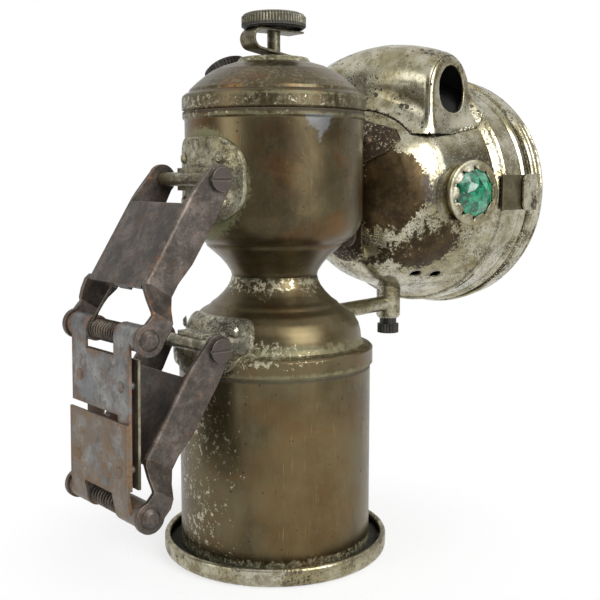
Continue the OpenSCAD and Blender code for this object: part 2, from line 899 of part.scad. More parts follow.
module green_jewel() {
    color([0.05, 0.5, 0.35])
    side_jewel(-1);
}
module red_jewel() {
    color([0.6, 0.05, 0.05])
    side_jewel(1);
}

// Gas way

module gas_pipe() {
    color(nickel)
    difference() {
        rotate([0, 0, head_turn])
            translate([chamber_r - 6, 0, pipe_z])
                rotate([0, 90, 0])
                    cylinder(r = pipe_r, h = riser_x - chamber_r + 6, $fn = small_fn);
        rotate([0, 0, head_turn])
            translate([0, 0, pipe_z])
                rotate([0, 90, 0])
                    cylinder(r = pipe_r - 0.7, h = far, $fn = small_fn);
        rotate([0, 0, head_turn])
            translate([riser_x, 0, 0])
                cylinder(r = riser_r - 0.02, h = far, $fn = small_fn);
    }
}
module burner_tube() {
    color(nickel)
    rotate([0, 0, head_turn])
        translate([riser_x, 0, 0])
            difference() {
                union() {
                    translate([0, 0, riser_z + 0.8])
                        cylinder(r = riser_r, h = burner_z - 12 - riser_z - 0.8, $fn = small_fn);
                    translate([0, 0, riser_z])
                        cylinder(r1 = riser_r - 0.6, r2 = riser_r, h = 0.8, $fn = small_fn);
                    translate([0, 0, burner_z - 12])
                        cylinder(r1 = riser_r, r2 = 2.4, h = 3, $fn = small_fn);
                    translate([0, 0, burner_z - 9])
                        cylinder(r = 2.4, h = 6, $fn = small_fn);
                }
                translate([0, 0, riser_z - 1])
                    cylinder(r = 1.5, h = far, $fn = small_fn);
                translate([0, 0, riser_z - 1])
                    cylinder(r = 2.5, h = 6, $fn = small_fn);
                translate([-10, 0, pipe_z])
                    rotate([0, 90, 0])
                        cylinder(r = pipe_r - 0.7, h = 10, $fn = small_fn);
            }
}
// Two-armed steatite burner
module burner() {
    color([0.85, 0.83, 0.76])
    rotate([0, 0, head_turn])
        translate([riser_x, 0, burner_z - 3])
            difference() {
                union() {
                    cylinder(r = 2.6, h = 3.2, $fn = small_fn);
                    for (side = [-1, 1])
                        rotate([side * -40, 0, 0])
                            translate([0, 0, 1])
                                cylinder(r = 1.3, h = 8, $fn = small_fn);
                }
                translate([0, 0, -1])
                    cylinder(r = 0.6, h = 3, $fn = 16);
            }
}
module drain_plug() {
    color(dark)
    rotate([0, 0, head_turn])
        translate([riser_x, 0, riser_z])
            union() {
                translate([0, 0, -5.4])
                    grooved_disc(3.8, 3.2, 22, 0.3);
                translate([0, 0, -2.3])
                    cylinder(r = 3, h = 2.2, $fn = small_fn);
                translate([0, 0, -0.5])
                    cylinder(r = 2.5 - pin_gap, h = 4, $fn = small_fn);
            }
}

// Lens door

door_line = [
    [lip_r + 0.6, door_x + 0.1],
    [door_r - 1.6, door_x],
    [door_r - 0.4, door_x + 0.3],
    [door_r, door_x + 1],
    [door_r, door_x + 2.6],
    [door_r - 0.9, door_x + 3.3],
    [door_r - 0.3, door_x + 4.2],
    [door_r - 0.3, door_x + 6],
    [door_r - 1.1, door_x + 6.8],
    [door_r - 0.5, door_x + 7.8],
    [door_r - 1, door_front - 1.6],
    [door_r - 2.6, door_front - 0.3],
    [door_r - 4.4, door_front],
    [door_open_r, door_front - 1]
];
module door_ring() {
    color(nickel)
    head_turned(sheet(door_line, wall));
}
lens_r = door_r - wall - 2.2;
lens_x = door_front - 5.4;
module lens() {
    color([0.8, 0.85, 0.85, 0.4])
    head_turned([
        [0, lens_x + 1 + lens_rise - lens_t],
        for (i = [1 : 8]) [lens_r * i / 8, lens_x + 1 + (lens_rise - lens_t) * (1 - i * i / 64)],
        for (i = [8 : -1 : 1]) [lens_r * i / 8, lens_x + 1 + lens_t * 0.5 + (lens_rise - lens_t * 0.5) * (1 - i * i / 64)],
        [0, lens_x + 1 + lens_rise]
    ]);
}
module lens_clip() {
    color(steel)
    on_head()
        rotate([0, 90, 0])
            translate([0, 0, lens_x + 0.1])
                rotate_extrude($fn = round_fn)
                    translate([lens_r - 0.2, 0])
                        circle(0.6, $fn = 16);
}
module hinge_barrel(z0, z1, r) {
    on_head()
        translate([door_x, hinge_y, z0])
            cylinder(r = r, h = z1 - z0, $fn = small_fn);
}
module door_hinge_leaf() {
    color(nickel)
    difference() {
        union() {
            hinge_barrel(-3, 3, hinge_knuckle_r);
            on_head()
                translate([door_x, door_r - 1, -3])
                    cube([6, hinge_y - door_r + 0.4, 6]);
        }
        hinge_barrel(-10, 10, hinge_pin_r + pin_gap);
        head_turned([[0, 0], [door_r + 0.02, 0], [door_r + 0.02, far], [0, far]], fine_fn);
    }
}
module bowl_hinge_leaf() {
    color(nickel)
    difference() {
        union() {
            for (z = [-hinge_half_h, 3.2])
                hinge_barrel(z, z + hinge_half_h - 3.2, hinge_knuckle_r);
            for (z = [-hinge_half_h, 3.2])
                on_head()
                    translate([door_x - 7, hinge_y - 5, z])
                        cube([7 - hinge_knuckle_r + 1, 5 - 0.4, hinge_half_h - 3.2]);
        }
        hinge_barrel(-10, 10, hinge_pin_r);
        bowl_solid(0.02, fine_fn);
    }
}
module door_hinge_pin() {
    color(steel)
    union() {
        hinge_barrel(-hinge_half_h - 0.4, hinge_half_h + 0.4, hinge_pin_r);
        hinge_barrel(hinge_half_h + 0.1, hinge_half_h + 1, 1.8);
    }
}
strap_half = 6.2;
strap_in = door_r + 0.12;
strap_out = strap_in + 0.75;
strap_back = door_x - 8.2;
strap_front = door_x + 1.7;
module door_strap() {
    color(nickel)
    difference() {
        intersection() {
            on_head()
                translate([0, 0, -strap_half])
                    linear_extrude(2 * strap_half)
                        polygon([
                            [strap_back, -strap_out], [strap_front - 0.5, -strap_out],
                            [strap_front, -strap_out + 0.5], [strap_front, -door_r + 1],
                            [door_x + 0.4, -door_r + 1], [door_x + 0.4, -strap_in],
                            [strap_back, -strap_in]]);
            // Clipped corners at the free end
            on_head()
                rotate([90, 0, 0])
                    linear_extrude(far)
                        polygon([
                            [strap_back, strap_half - 2], [strap_back + 1.6, strap_half],
                            [far, strap_half], [far, -strap_half],
                            [strap_back + 1.6, -strap_half], [strap_back, -strap_half + 2]]);
        }
        // Recess that the catch's nib drops into
        on_head()
            translate([leaf_front - 1.4, -strap_in - 0.4, -2.2])
                cube([1.6, 1, 4.4]);
        head_turned([[0, 0], [door_r + 0.02, 0], [door_r + 0.02, far], [0, far]], fine_fn);
    }
}
leaf_t = 0.6;
leaf_half = 5.9;
leaf_x = band_x - 2.7;
leaf_front = door_x - 5;
leaf_front_y = strap_in - 0.3;
leaf_line = [
    [leaf_x, -band_r + 0.6 - leaf_t], [leaf_x + 3, -band_r - 0.6 - leaf_t], [leaf_front, -leaf_front_y]];
module catch_leaf() {
    color(nickel)
    on_head() {
        translate([0, 0, -leaf_half])
            linear_extrude(2 * leaf_half)
                polygon(sheet(leaf_line, leaf_t));
        // Nib that holds the door shut
        translate([leaf_front - 1, -leaf_front_y - 0.2, -1.8])
            cube([0.9, 0.6, 3.6]);
    }
}

// Bracket: what is fixed to the generator

module rear_bands(r0, r1, half_y, z0, z1, round_r) {
    intersection() {
        rotate([0, 0, 180])
            yz_plate(0, far, half_y, z0, z1, round_r);
        difference() {
            cylinder(r = r1, h = far, $fn = round_fn);
            cylinder(r = r0, h = far, $fn = round_fn);
        }
    }
}
cradle_half = 6;
module rod_cradle(x, z, inner_r) {
    difference() {
        translate([-x, -cradle_half, z - 3.2])
            cube([x - inner_r + 4, 2 * cradle_half, 6.4]);
        cylinder(r = inner_r, h = far, $fn = round_fn);
        cross_pin(-x, z, rod_r, -far / 2, far / 2);
    }
}
module upper_saddle() {
    color(nickel)
    difference() {
        union() {
            rear_bands(tank_r + 0.02, tank_r + saddle_t, 15.4, upper_rod_z - 12, upper_rod_z + 12, 9);
            rod_cradle(upper_rod_out, upper_rod_z, tank_r + 0.5);
        }
    }
}
// The same outline as the shoulder, moved out by t, as a solid
module shoulder_solid(t) {
    moved = beside(shoulder_line, t);
    rotate_extrude($fn = round_fn)
        polygon(concat([[0, moved[0][1]]], moved, [[0, neck_z]]));
}
module lower_saddle() {
    color(nickel)
    union() {
        intersection() {
            difference() {
                shoulder_solid(saddle_t);
                shoulder_solid(0.02);
            }
            rotate([0, 0, 180])
                yz_plate(0, far, 16.5, skirt_z + 1, lower_rod_z + 7.4, 6);
        }
        difference() {
            rod_cradle(lower_rod_out, lower_rod_z, chamber_r - 6);
            shoulder_solid(saddle_t / 2);
        }
    }
}
module saddle_rivet(r, z, a) {
    rotate([0, 0, 180 + a])
        translate([r, 0, z])
            rotate([0, 90, 0])
                cylinder(r1 = 1.9, r2 = 1, h = 0.9, $fn = small_fn);
}
module saddle_rivets() {
    color(nickel)
    for (side = [-1, 1]) {
        saddle_rivet(tank_r + saddle_t + 0.02, upper_rod_z + 6, side * 19);
        saddle_rivet(tank_r + saddle_t + 0.02, upper_rod_z - 6.5, side * 19);
        saddle_rivet(chamber_r - 3.1 + saddle_t, lower_rod_z + 4.2, side * 26);
    }
}
module bracket_rod(x, z) {
    difference() {
        union() {
            cross_pin(x, z, rod_r, -arm_half - 0.4, arm_half + 0.4);
            cross_pin(x, z, rod_r + 1.3, arm_half + 0.1, arm_half + 1.3);
            cross_pin(x, z, rod_r + 1.3, -arm_half - 1.4, -arm_half - 0.1);
        }
        translate([x - 5, -arm_half - 2, z - 0.35])
            cube([10, 1.2, 0.7]);
    }
}
module upper_rod() {
    color(nickel)
    bracket_rod(-upper_rod_out, upper_rod_z);
}
module lower_rod() {
    color(nickel)
    bracket_rod(-lower_rod_out, lower_rod_z);
}

// Bracket: arms, drawn along X from the rod to the back plate's pin,
// with the web on the side of negative Z

web_start = 11.2;
web_end = arm_len - 11.7;
flare_start = web_end - 1.6;
flare_end = arm_len - 6.5;
// Side view of an arm
module arm_cheek() {
    circle(eye_r, $fn = small_fn);
    translate([arm_len, 0])
        circle(eye_r, $fn = small_fn);
    polygon([
        [-1.4, -eye_r + 0.25], [5, -web_out + 1.1], [web_start, -web_out], [web_end, -web_out],
        [web_end + 2.6, -web_out + 1.4], [arm_len - 6, -2.4], [arm_len - 3.2, -2.9],
        [arm_len - 1.5, 4], [arm_len - 4.4, 4.6], [web_end + 1.4, 3.2], [web_end - 6, 3.2],
        [24, 4.4], [8, 4.7], [1.2, eye_r - 0.2]]);
}
// An arm seen from the web's side: two cheeks that stand wider apart at the back plate
cheek_line = [
    [-eye_r - 1, arm_in], [flare_start, arm_in], [flare_end, arm_end_in], [arm_len + eye_r + 1, arm_end_in]];
module arm_body() {
    difference() {
        intersection() {
            translate([0, far / 2, 0])
                rotate([90, 0, 0])
                    linear_extrude(far)
                        arm_cheek();
            union() {
                for (side = [0, 1])
                    mirror([0, side, 0])
                        translate([0, 0, -far / 2])
                            linear_extrude(far)
                                polygon(sheet(cheek_line, arm_t));
                translate([web_start, -arm_in - 0.2, -web_out])
                    cube([web_end - web_start, 2 * arm_in + 0.4, arm_t]);
                // Tongue at the web's end, beside the spring's leg
                translate([web_end - 1.2, -5, -web_out])
                    cube([1.2, 6, 3.2]);
            }
        }
        // Rounded outer folds
        for (side = [0, 1])
            mirror([0, side, 0])
                translate([-20, -arm_half, -web_out])
                    rotate([90, 0, 90])
                        linear_extrude(20 + flare_start)
                            difference() {
                                translate([-1, -1])
                                    square(2.4);
                                translate([1.4, 1.4])
                                    circle(1.4, $fn = small_fn);
                            }
        translate([0, far / 2, 0])
            rotate([90, 0, 0])
                cylinder(r = rod_hole_r, h = far, $fn = small_fn);
        translate([arm_len, far / 2, 0])
            rotate([90, 0, 0])
                cylinder(r = pin_r, h = far, $fn = small_fn);
    }
}
module on_arm(x, z) {
    translate([-x, 0, z])
        rotate([0, 90 + arm_lean, 0])
            children();
}
module upper_arm() {
    color(steel)
    on_arm(upper_rod_out, upper_rod_z)
        arm_body();
}
module lower_arm() {
    color(steel)
    on_arm(lower_rod_out, lower_rod_z)
        arm_body();
}
module back_pin(x, z) {
    union() {
        cross_pin(x, z, pin_r, -arm_end_half - 0.3, arm_end_half + 0.3);
        for (side = [-1, 1])
            translate([x, side * (arm_end_half + 0.05), z])
                rotate([-side * 90, 0, 0])
                    cylinder(r1 = 2.9, r2 = 1.8, h = 1.1, $fn = small_fn);
    }
}
module upper_pin() {
    color(steel)
    back_pin(upper_pin_x, upper_pin_z);
}
module lower_pin() {
    color(steel)
    back_pin(lower_pin_x, lower_pin_z);
}

// Bracket: back plate, made as two sheets with a slot between

outer_x = lower_pin_x - knuckle_r;
plate_lean = atan2(upper_pin_x - lower_pin_x, upper_pin_z - lower_pin_z);
split_low = 24.4;
split_high = 26.2;
plate_span = norm([upper_pin_x - lower_pin_x, upper_pin_z - lower_pin_z]);
inner_sheet_half = plate_half - 1.8;
inner_x = -knuckle_r + plate_sheet + slot_t;
strip_w = 6;
// Sets children with the lower pin at the origin and the upper pin straight up
module on_back_plate() {
    translate([lower_pin_x, 0, lower_pin_z])
        rotate([0, plate_lean, 0])
            children();
}
// Side view extruded across the plate
module across(half_y) {
    translate([0, half_y, 0])
        rotate([90, 0, 0])
            linear_extrude(2 * half_y)
                children();
}
module spring_gap(z0, z1) {
    translate([-far / 2, -spring_space / 2, z0])
        cube([far, spring_space, z1 - z0]);
}
module upper_back_plate() {
    color(blue_steel)
    on_back_plate()
        difference() {
            union() {
                translate([-knuckle_r, -plate_half, split_high])
                    cube([plate_sheet, 2 * plate_half, plate_span - split_high]);
                // Strip that runs on behind the lower sheet
                translate([-knuckle_r, -plate_half, knuckle_r + 3])
                    cube([plate_sheet, strip_w, plate_span / 2]);
                translate([0, 0, plate_span])
                    across(barrel_half)
                        circle(knuckle_r, $fn = 48);
            }
            translate([0, 0, plate_span])
                across(far)
                    circle(pin_hole_r, $fn = 48);
            spring_gap(plate_span - 5.2, plate_span + 10);
        }
}
module lower_back_plate() {
    color(blue_steel)
    on_back_plate()
        difference() {
            union() {
                across(plate_half)
                    polygon([
                        [-knuckle_r - 0.02, split_low], [-knuckle_r - plate_sheet, split_low],
                        [-knuckle_r - plate_sheet, 4], [-knuckle_r, 0], [-knuckle_r + 0.6, 0],
                        [-knuckle_r + 0.6, 2.2], [-knuckle_r - 0.02, 6]]);
                across(barrel_half)
                    circle(knuckle_r, $fn = 48);
            }
            across(far)
                circle(open_pivot_r, $fn = 48);
            spring_gap(-10, 4.6);
        }
}
module inner_back_plate() {
    color([0.4, 0.28, 0.2])
    on_back_plate()
        difference() {
            translate([inner_x, -inner_sheet_half, knuckle_r + 2.4])
                cube([plate_sheet, 2 * inner_sheet_half, plate_span - 2 * knuckle_r - 4.8]);
            translate([inner_x - 1, 1, split_low - 1.4])
                cube([3, 4.4, 4.6]);
        }
}
module back_plate_rivets() {
    color(steel)
    on_back_plate()
        for (side = [-1, 1], z = [plate_span / 2 - 12.4, plate_span / 2 + 10.4])
            plate_rivet(side * (inner_sheet_half - 2.6), z, z < plate_span / 2 && side > 0 ? plate_sheet : 0);
}
// Head outside, and a spacer across the slot that reaches out by an extra length
module plate_rivet(y, z, extra) {
    low = z < plate_span / 2 ? plate_sheet : 0;
    translate([-knuckle_r - low, y, z])
        rotate([0, 90, 0])
            union() {
                translate([0, 0, -0.52])
                    cylinder(r1 = 0.9, r2 = 1.7, h = 0.5, $fn = small_fn);
                translate([0, 0, low + plate_sheet + 0.02 - extra])
                    cylinder(r = 1.2, h = slot_t - 0.04 + extra, $fn = small_fn);
            }
}

// Springs: one unbroken wire each, its turns worked out along the pin

coil_r = coil_in_r + wire_r;
coil_half = spring_space / 2 - 0.3 - wire_r;
rings_per_curl = 8;
wire_sides = 6;
// The leg's end on the web, seen from the pin
leg_end = unit([sin(arm_lean), cos(arm_lean)]) * (arm_len - web_end + 3.4)
    + [-cos(arm_lean), sin(arm_lean)] * (web_out - arm_t - wire_r - 0.04);
leg_turn = acos(coil_r / norm(leg_end));
leg_a = atan2(leg_end[1], leg_end[0]);
// A point on the coil at angle a, the share k of the way along
function coil_point(a, k) = [coil_r * cos(a), coil_half * (2 * k - 1), coil_r * sin(a)];
function coil_points(a0, a1) =
    let (n = round(abs(a1 - a0) * rings_per_curl / 360))
    [for (i = [0 : n]) coil_point(a0 + (a1 - a0) * i / n, i / n)];
// A tube of six sides along a row of points
module wire_tube(p) {
    n = len(p);
    way = [for (i = [0 : n - 1]) unit(p[min(i + 1, n - 1)] - p[max(i - 1, 0)])];
    side = [for (i = [0 : n - 1]) unit(cross(way[i], abs(way[i][1]) < 0.9 ? [0, 1, 0] : [1, 0, 0]))];
    rings = [
        for (i = [0 : n - 1], k = [0 : wire_sides - 1])
            let (a = 360 * k / wire_sides)
            p[i] + wire_r * (side[i] * cos(a) + cross(way[i], side[i]) * sin(a))
    ];
    faces = concat(
        [for (i = [0 : n - 2], k = [0 : wire_sides - 1])
            let (a = i * wire_sides + k, b = i * wire_sides + (k + 1) % wire_sides)
            [a, a + wire_sides, b]],
        [for (i = [0 : n - 2], k = [0 : wire_sides - 1])
            let (a = i * wire_sides + k, b = i * wire_sides + (k + 1) % wire_sides)
            [a + wire_sides, b + wire_sides, b]],
        [for (k = [1 : wire_sides - 2]) [0, k, k + 1]],
        [for (k = [1 : wire_sides - 2]) let (e = (n - 1) * wire_sides) [e, e + k + 1, e + k]]);
    polyhedron(points = rings, faces = faces);
}
// Legs and turns of the two springs, in order along the wire
upper_leg_x = -knuckle_r + plate_sheet + wire_r + 0.06;
lower_leg_x = inner_x - wire_r - 0.06;
upper_coil = coil_points(180, leg_a + leg_turn - 360 * coil_turns);
lower_coil = coil_points(170, leg_a - leg_turn + 360 * coil_turns);
leg_way = unit([sin(arm_lean), cos(arm_lean)]);
function arm_leg(y) = [
    [leg_end[0] - 2.6 * leg_way[0], y, leg_end[1] - 2.6 * leg_way[1]],
    [leg_end[0] - 0.9 * leg_way[0], y, leg_end[1] - 0.9 * leg_way[1]],
    [leg_end[0], y, leg_end[1]]];
upper_wire = concat(
    [[upper_leg_x, -coil_half, -9], [upper_leg_x, -coil_half, -8.1], [upper_leg_x, -coil_half, -3]],
    upper_coil, arm_leg(3));
lower_wire = concat(
    [[lower_leg_x, -coil_half, 10], [lower_leg_x, -coil_half, 9.1], [lower_leg_x - 0.2, -coil_half, 6]],
    lower_coil, arm_leg(3));
// Smallest gap between turns, measured on the coils' own points
function turn_gap(p) = min([
    for (i = [0 : len(p) - rings_per_curl], j = [i + rings_per_curl - 2 : min(i + rings_per_curl + 2, len(p) - 1)])
        norm(p[j] - p[i])
]) - 2 * wire_r;
echo(str("least gap between the turns of the springs, mm: ", turn_gap(upper_coil), " ", turn_gap(lower_coil)));
module upper_spring() {
    color(steel)
    translate([upper_pin_x, 0, upper_pin_z])
        wire_tube(upper_wire);
}
module lower_spring() {
    color(steel)
    translate([lower_pin_x, 0, lower_pin_z])
        wire_tube(lower_wire);
}

base_tray();
base_seal();
carbide_cup();
carbide_chamber();
generator_shoulder();
filter_plate();
gas_filter();
drip_tube();
water_tank();
valve_seat();
tank_cap();
valve_plate();
valve_spindle();
valve_knob();
knob_clip();
filler_neck();
filler_washer();
filler_cap();
head_yoke();
yoke_rivets();
head_bowl();
hood();
reflector();
gas_pipe();
burner_tube();
burner();
drain_plug();
green_setting();
green_jewel();
red_setting();
red_jewel();
door_ring();
lens();
lens_clip();
door_hinge_leaf();
bowl_hinge_leaf();
door_hinge_pin();
door_strap();
catch_leaf();
upper_saddle();
lower_saddle();
saddle_rivets();
upper_rod();
lower_rod();
upper_arm();
lower_arm();
upper_pin();
lower_pin();
upper_back_plate();
lower_back_plate();
inner_back_plate();
back_plate_rivets();
upper_spring();
lower_spring();
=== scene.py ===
"""Looks of a carbide bicycle lamp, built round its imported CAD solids."""
import math

import bpy
import numpy as np
from mathutils import Matrix, Vector

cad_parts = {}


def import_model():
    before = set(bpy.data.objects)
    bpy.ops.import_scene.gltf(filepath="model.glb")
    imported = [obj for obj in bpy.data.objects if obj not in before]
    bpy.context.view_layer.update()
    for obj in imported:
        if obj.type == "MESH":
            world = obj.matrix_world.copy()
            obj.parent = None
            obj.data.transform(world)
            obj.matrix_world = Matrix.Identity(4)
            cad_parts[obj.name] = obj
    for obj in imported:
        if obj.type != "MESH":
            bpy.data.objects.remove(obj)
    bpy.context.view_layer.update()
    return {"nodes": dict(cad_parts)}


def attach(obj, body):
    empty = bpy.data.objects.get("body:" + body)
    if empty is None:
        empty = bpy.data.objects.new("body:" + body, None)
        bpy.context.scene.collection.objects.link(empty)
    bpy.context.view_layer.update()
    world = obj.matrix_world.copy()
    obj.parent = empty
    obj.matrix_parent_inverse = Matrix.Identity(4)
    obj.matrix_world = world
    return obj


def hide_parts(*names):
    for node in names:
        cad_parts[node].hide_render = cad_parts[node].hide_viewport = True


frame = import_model()
nodes = frame["nodes"]
MM = 0.001

# Places in millimetres, as in the part's source. On the head they are along its axis,
# across it to its left and up from it, starting on the lamp's own axis. The photograph
# is taken from the lamp's right, 40 degrees round towards the bracket.
VIEW_COS, VIEW_SIN = 0.766, 0.643
HEAD_TURN = math.radians(10)
HEAD_Z = 110.6
BOWL_OUT = 62.5
BOWL_R = 33.2
FLANK = math.radians(16)
FLANK_FROM = 53.35
BAND_GROOVES = (72.2, 87.9)
DOOR_GROOVES = (91.6, 95.1)
BARREL_OUT = 61.2
BARREL_UP = 35.5
BARREL_R = 14.7
BARREL_END = 24.6
BARREL_CORNER = 2.4
TAPER_REACH = 22.6
TAPER = 1.7
TAPER_POWER = 0.68
SAG = 2.5
SAG_POWER = 1.24
VENT_UP = 34.0
VENT_R = 7.7
JEWEL_R = 7.8
DISH_R = 10.8
LIGHT_OUT = BOWL_OUT - 2.6
LIGHT_ACROSS = BOWL_R + 1.6
LIGHT_LEAN = FLANK + math.radians(1)
KNOB_R = 9.6
KNOB_Z = 159.4
KNOB_TEETH = 64
CHAMBER_SEAM_Z = 59.6
SHOULDER_EDGE_Z = 66.6
CAP_BEAD_LOW_Z = 133.2
CAP_EDGE_Z = 134.4
CAP_SIDE_Z = 136.8
CAP_BEAD_HIGH_Z = 138.9
DOME_Z = 139.5
SADDLE_Z = 114
VALVE_PLATE_Z = (149.2, 151.2)
TRAY_INSIDE_R = 33.2
SHEET_PARTING_Z = 52


# Finishes

EDGE_SAMPLES = 6
FACET_BLUR = 2.0
FINISHES = {}


def tint(red, green, blue):
    """A colour as seen on a screen, 0 to 255, made linear for the shader."""
    def linear(v):
        v /= 255
        return v / 12.92 if v <= 0.04045 else ((v + 0.055) / 1.055) ** 2.4
    return (linear(red), linear(green), linear(blue), 1.0)


class Shade:
    """A value in a node tree; arithmetic on it adds the Math nodes that work it out."""

    def __init__(self, network, socket):
        self.network = network
        self.socket = socket

    def maths(self, operation, *others):
        return self.network.node("ShaderNodeMath", {"operation": operation}, [self, *others])

    def __add__(self, other):
        return self.maths("ADD", other)

    __radd__ = __add__

    def __sub__(self, other):
        return self.maths("SUBTRACT", other)

    def __rsub__(self, other):
        return self.network.node("ShaderNodeMath", {"operation": "SUBTRACT"}, [other, self])

    def __mul__(self, other):
        return self.maths("MULTIPLY", other)

    __rmul__ = __mul__

    def __truediv__(self, other):
        return self.maths("DIVIDE", other)

    def __pow__(self, other):
        return self.maths("POWER", other)

    def most(self, other):
        return self.maths("MAXIMUM", other)

    def least(self, other):
        return self.maths("MINIMUM", other)

    def size(self):
        return self.maths("ABSOLUTE")

    def over(self, edge, soft):
        """0 below the edge and 1 above it, turning over twice the softness."""
        return self.network.node(
            "ShaderNodeMapRange", {"interpolation_type": "SMOOTHSTEP"},
            {"Value": self, "From Min": edge - soft, "From Max": edge + soft})

    def under(self, edge, soft):
        return 1 - self.over(edge, soft)

    def between(self, low, high, soft):
        return self.over(low, soft) * self.under(high, soft)

    def near(self, middle, reach, soft):
        """1 within reach of the middle, on both sides."""
        return (self - middle).size().under(reach, soft)


class Network:
    """A node tree, and the nodes that are added to it."""

    def __init__(self, tree):
        self.tree = tree
        tree.nodes.clear()

    def node(self, kind, settings, values, output=0):
        made = self.tree.nodes.new(kind)
        for name, value in settings.items():
            setattr(made, name, value)
        pairs = values.items() if isinstance(values, dict) else enumerate(values)
        for name, value in pairs:
            if isinstance(value, Shade):
                self.tree.links.new(value.socket, made.inputs[name])
            else:
                made.inputs[name].default_value = value
        return Shade(self, made.outputs[output])

    def parts(self, vector):
        outs = self.node("ShaderNodeSeparateXYZ", {}, {"Vector": vector}).socket.node.outputs
        return [Shade(self, outs[axis]) for axis in ("X", "Y", "Z")]

    def rays(self, *kinds):
        """1 for each kind that a ray is: from the camera, off shiny metal and so on."""
        outs = self.node("ShaderNodeLightPath", {}, {}).socket.node.outputs
        return [Shade(self, outs[f"Is {kind} Ray"]) for kind in kinds]

    def ends_in(self, kind, shader):
        out = self.tree.nodes.new(kind)
        self.tree.links.new(shader.socket, out.inputs["Surface"])


class Finish(Network):
    """A material for one kind of surface, worked out from the place on the lamp."""

    def __init__(self, name):
        self.material = bpy.data.materials.new(name)
        self.material.use_nodes = True
        super().__init__(self.material.node_tree)
        FINISHES[name] = self.material
        here = self.node("ShaderNodeTexCoord", {}, {}, "Object")
        self.place = self.node("ShaderNodeVectorMath", {"operation": "SCALE"},
                               {"Vector": here, "Scale": 1 / MM}, "Vector")
        self.x, self.y, self.z = self.parts(self.place)

    def head_place(self):
        """Along the head's axis, across it to the left, and up from it."""
        c, s = math.cos(HEAD_TURN), math.sin(HEAD_TURN)
        return self.x * c + self.y * s, self.y * c - self.x * s, self.z - HEAD_Z

    def grain(self, size, detail=4.0, rough=0.55, stretch=(1, 1, 1), shift=0.0, warp=0.0):
        """Even noise with features about size millimetres across."""
        at = self.node(
            "ShaderNodeMapping", {"vector_type": "POINT"},
            {"Vector": self.place, "Location": (shift, shift * 1.7, -shift),
             "Scale": tuple(1 / (size * k) for k in stretch)})
        return self.node(
            "ShaderNodeTexNoise", {"noise_dimensions": "3D"},
            {"Vector": at, "Scale": 1.0, "Detail": detail, "Roughness": rough, "Distortion": warp})

    def dots(self, size, shift=0.0):
        """Distance from the middles of scattered spots, in spot sizes."""
        at = self.node(
            "ShaderNodeMapping", {"vector_type": "POINT"},
            {"Vector": self.place, "Location": (shift, -shift, shift * 0.6),
             "Scale": (1 / size, 1 / size, 1 / size)})
        return self.node(
            "ShaderNodeTexVoronoi", {"feature": "F1"}, {"Vector": at, "Scale": 1.0}, "Distance")

    def mix(self, first, second, share):
        return self.node(
            "ShaderNodeMix", {"data_type": "RGBA"}, {0: share, 6: first, 7: second}, 2)

    def bump(self, height, depth, **normal):
        """The normal over a relief of so many millimetres."""
        return self.node(
            "ShaderNodeBump", {}, {"Height": height, "Distance": depth * MM, **normal}, "Normal")

    def rounded(self, radius):
        """The normal with edges softened over a radius in millimetres."""
        return self.node("ShaderNodeBevel", {"samples": EDGE_SAMPLES}, {"Radius": radius * MM})

    def turned(self, normal):
        """How far a softened normal leans from the true one: 0 away from edges."""
        true = self.node("ShaderNodeNewGeometry", {}, {}, "Normal")
        return 1 - self.node(
            "ShaderNodeVectorMath", {"operation": "DOT_PRODUCT"}, [normal, true], "Value")

    def ground(self, colour, rough, metallic, edge=0.25, curved=None):
        """The bare surface; curved marks round forms, whose facets are smoothed away."""
        self.soft_edge = self.rounded(edge)
        self.edge = self.turned(self.soft_edge)
        if curved is not None:
            self.soft_edge = self.node(
                "ShaderNodeMix", {"data_type": "VECTOR"},
                {0: curved(self), 4: self.soft_edge, 5: self.rounded(FACET_BLUR)}, 1)
        self.colour, self.rough, self.metallic, self.relief = colour, rough, metallic, 0.0

    def lay(self, share, colour=None, rough=None, metallic=None, rise=0.0):
        """Lays a film, stain or crust where share is above nothing."""
        if colour is not None:
            self.colour = self.mix(self.colour, colour, share)
        if rough is not None:
            self.rough = self.rough + (rough - self.rough) * share
        if metallic is not None:
            self.metallic = self.metallic + (metallic - self.metallic) * share
        if rise:
            self.relief = self.relief + share * rise

    def done(self, depth):
        """Joins the layers to the shader; depth is the relief in millimetres."""
        self.shown({
            "Base Color": self.colour, "Roughness": self.rough, "Metallic": self.metallic,
            "Normal": self.bump(self.relief, depth, Normal=self.soft_edge)})

    def shown(self, values):
        shader = self.node("ShaderNodeBsdfPrincipled", {}, values, "BSDF")
        self.ends_in("ShaderNodeOutputMaterial", shader)


NICKEL_LIGHT = tint(188, 184, 164)
NICKEL_WARM = tint(148, 139, 108)
NICKEL_GREY = tint(88, 82, 62)
NICKEL_SPECK = tint(168, 161, 132)
NICKEL_GLINT = tint(206, 200, 176)
BARE_BRASS = tint(78, 63, 40)
BARE_BRASS_DARK = tint(52, 42, 27)
BRASS_MID = tint(104, 93, 67)
BRASS_DARK = tint(68, 58, 40)
BRASS_RED = tint(106, 74, 42)
BRASS_EDGE = tint(150, 126, 84)
BRASS_SCRATCH = tint(168, 142, 100)
OLIVE_FILM = tint(96, 92, 70)
STEEL_SPOT = tint(40, 36, 34)
STEEL_EDGE = tint(140, 132, 122)
PIT_BROWN = tint(34, 27, 19)
GRIME = tint(36, 31, 23)
VERDIGRIS = tint(98, 108, 80)
RUST_DARK = tint(88, 60, 40)
RUST_LIGHT = tint(148, 102, 58)
# Black: soot, and also painted shade in the setting's slits and round the knob's foot.
SOOT_AND_SHADE = tint(16, 14, 12)

# Colour, roughness and metal of two films that several parts have: soot with painted shade, and a
# dark film in grooves
SOOT_AND_SHADE_FILM = (SOOT_AND_SHADE, 0.85, 0.0)
DARK_GROOVE_FILM = (GRIME, 0.7, 0.3)


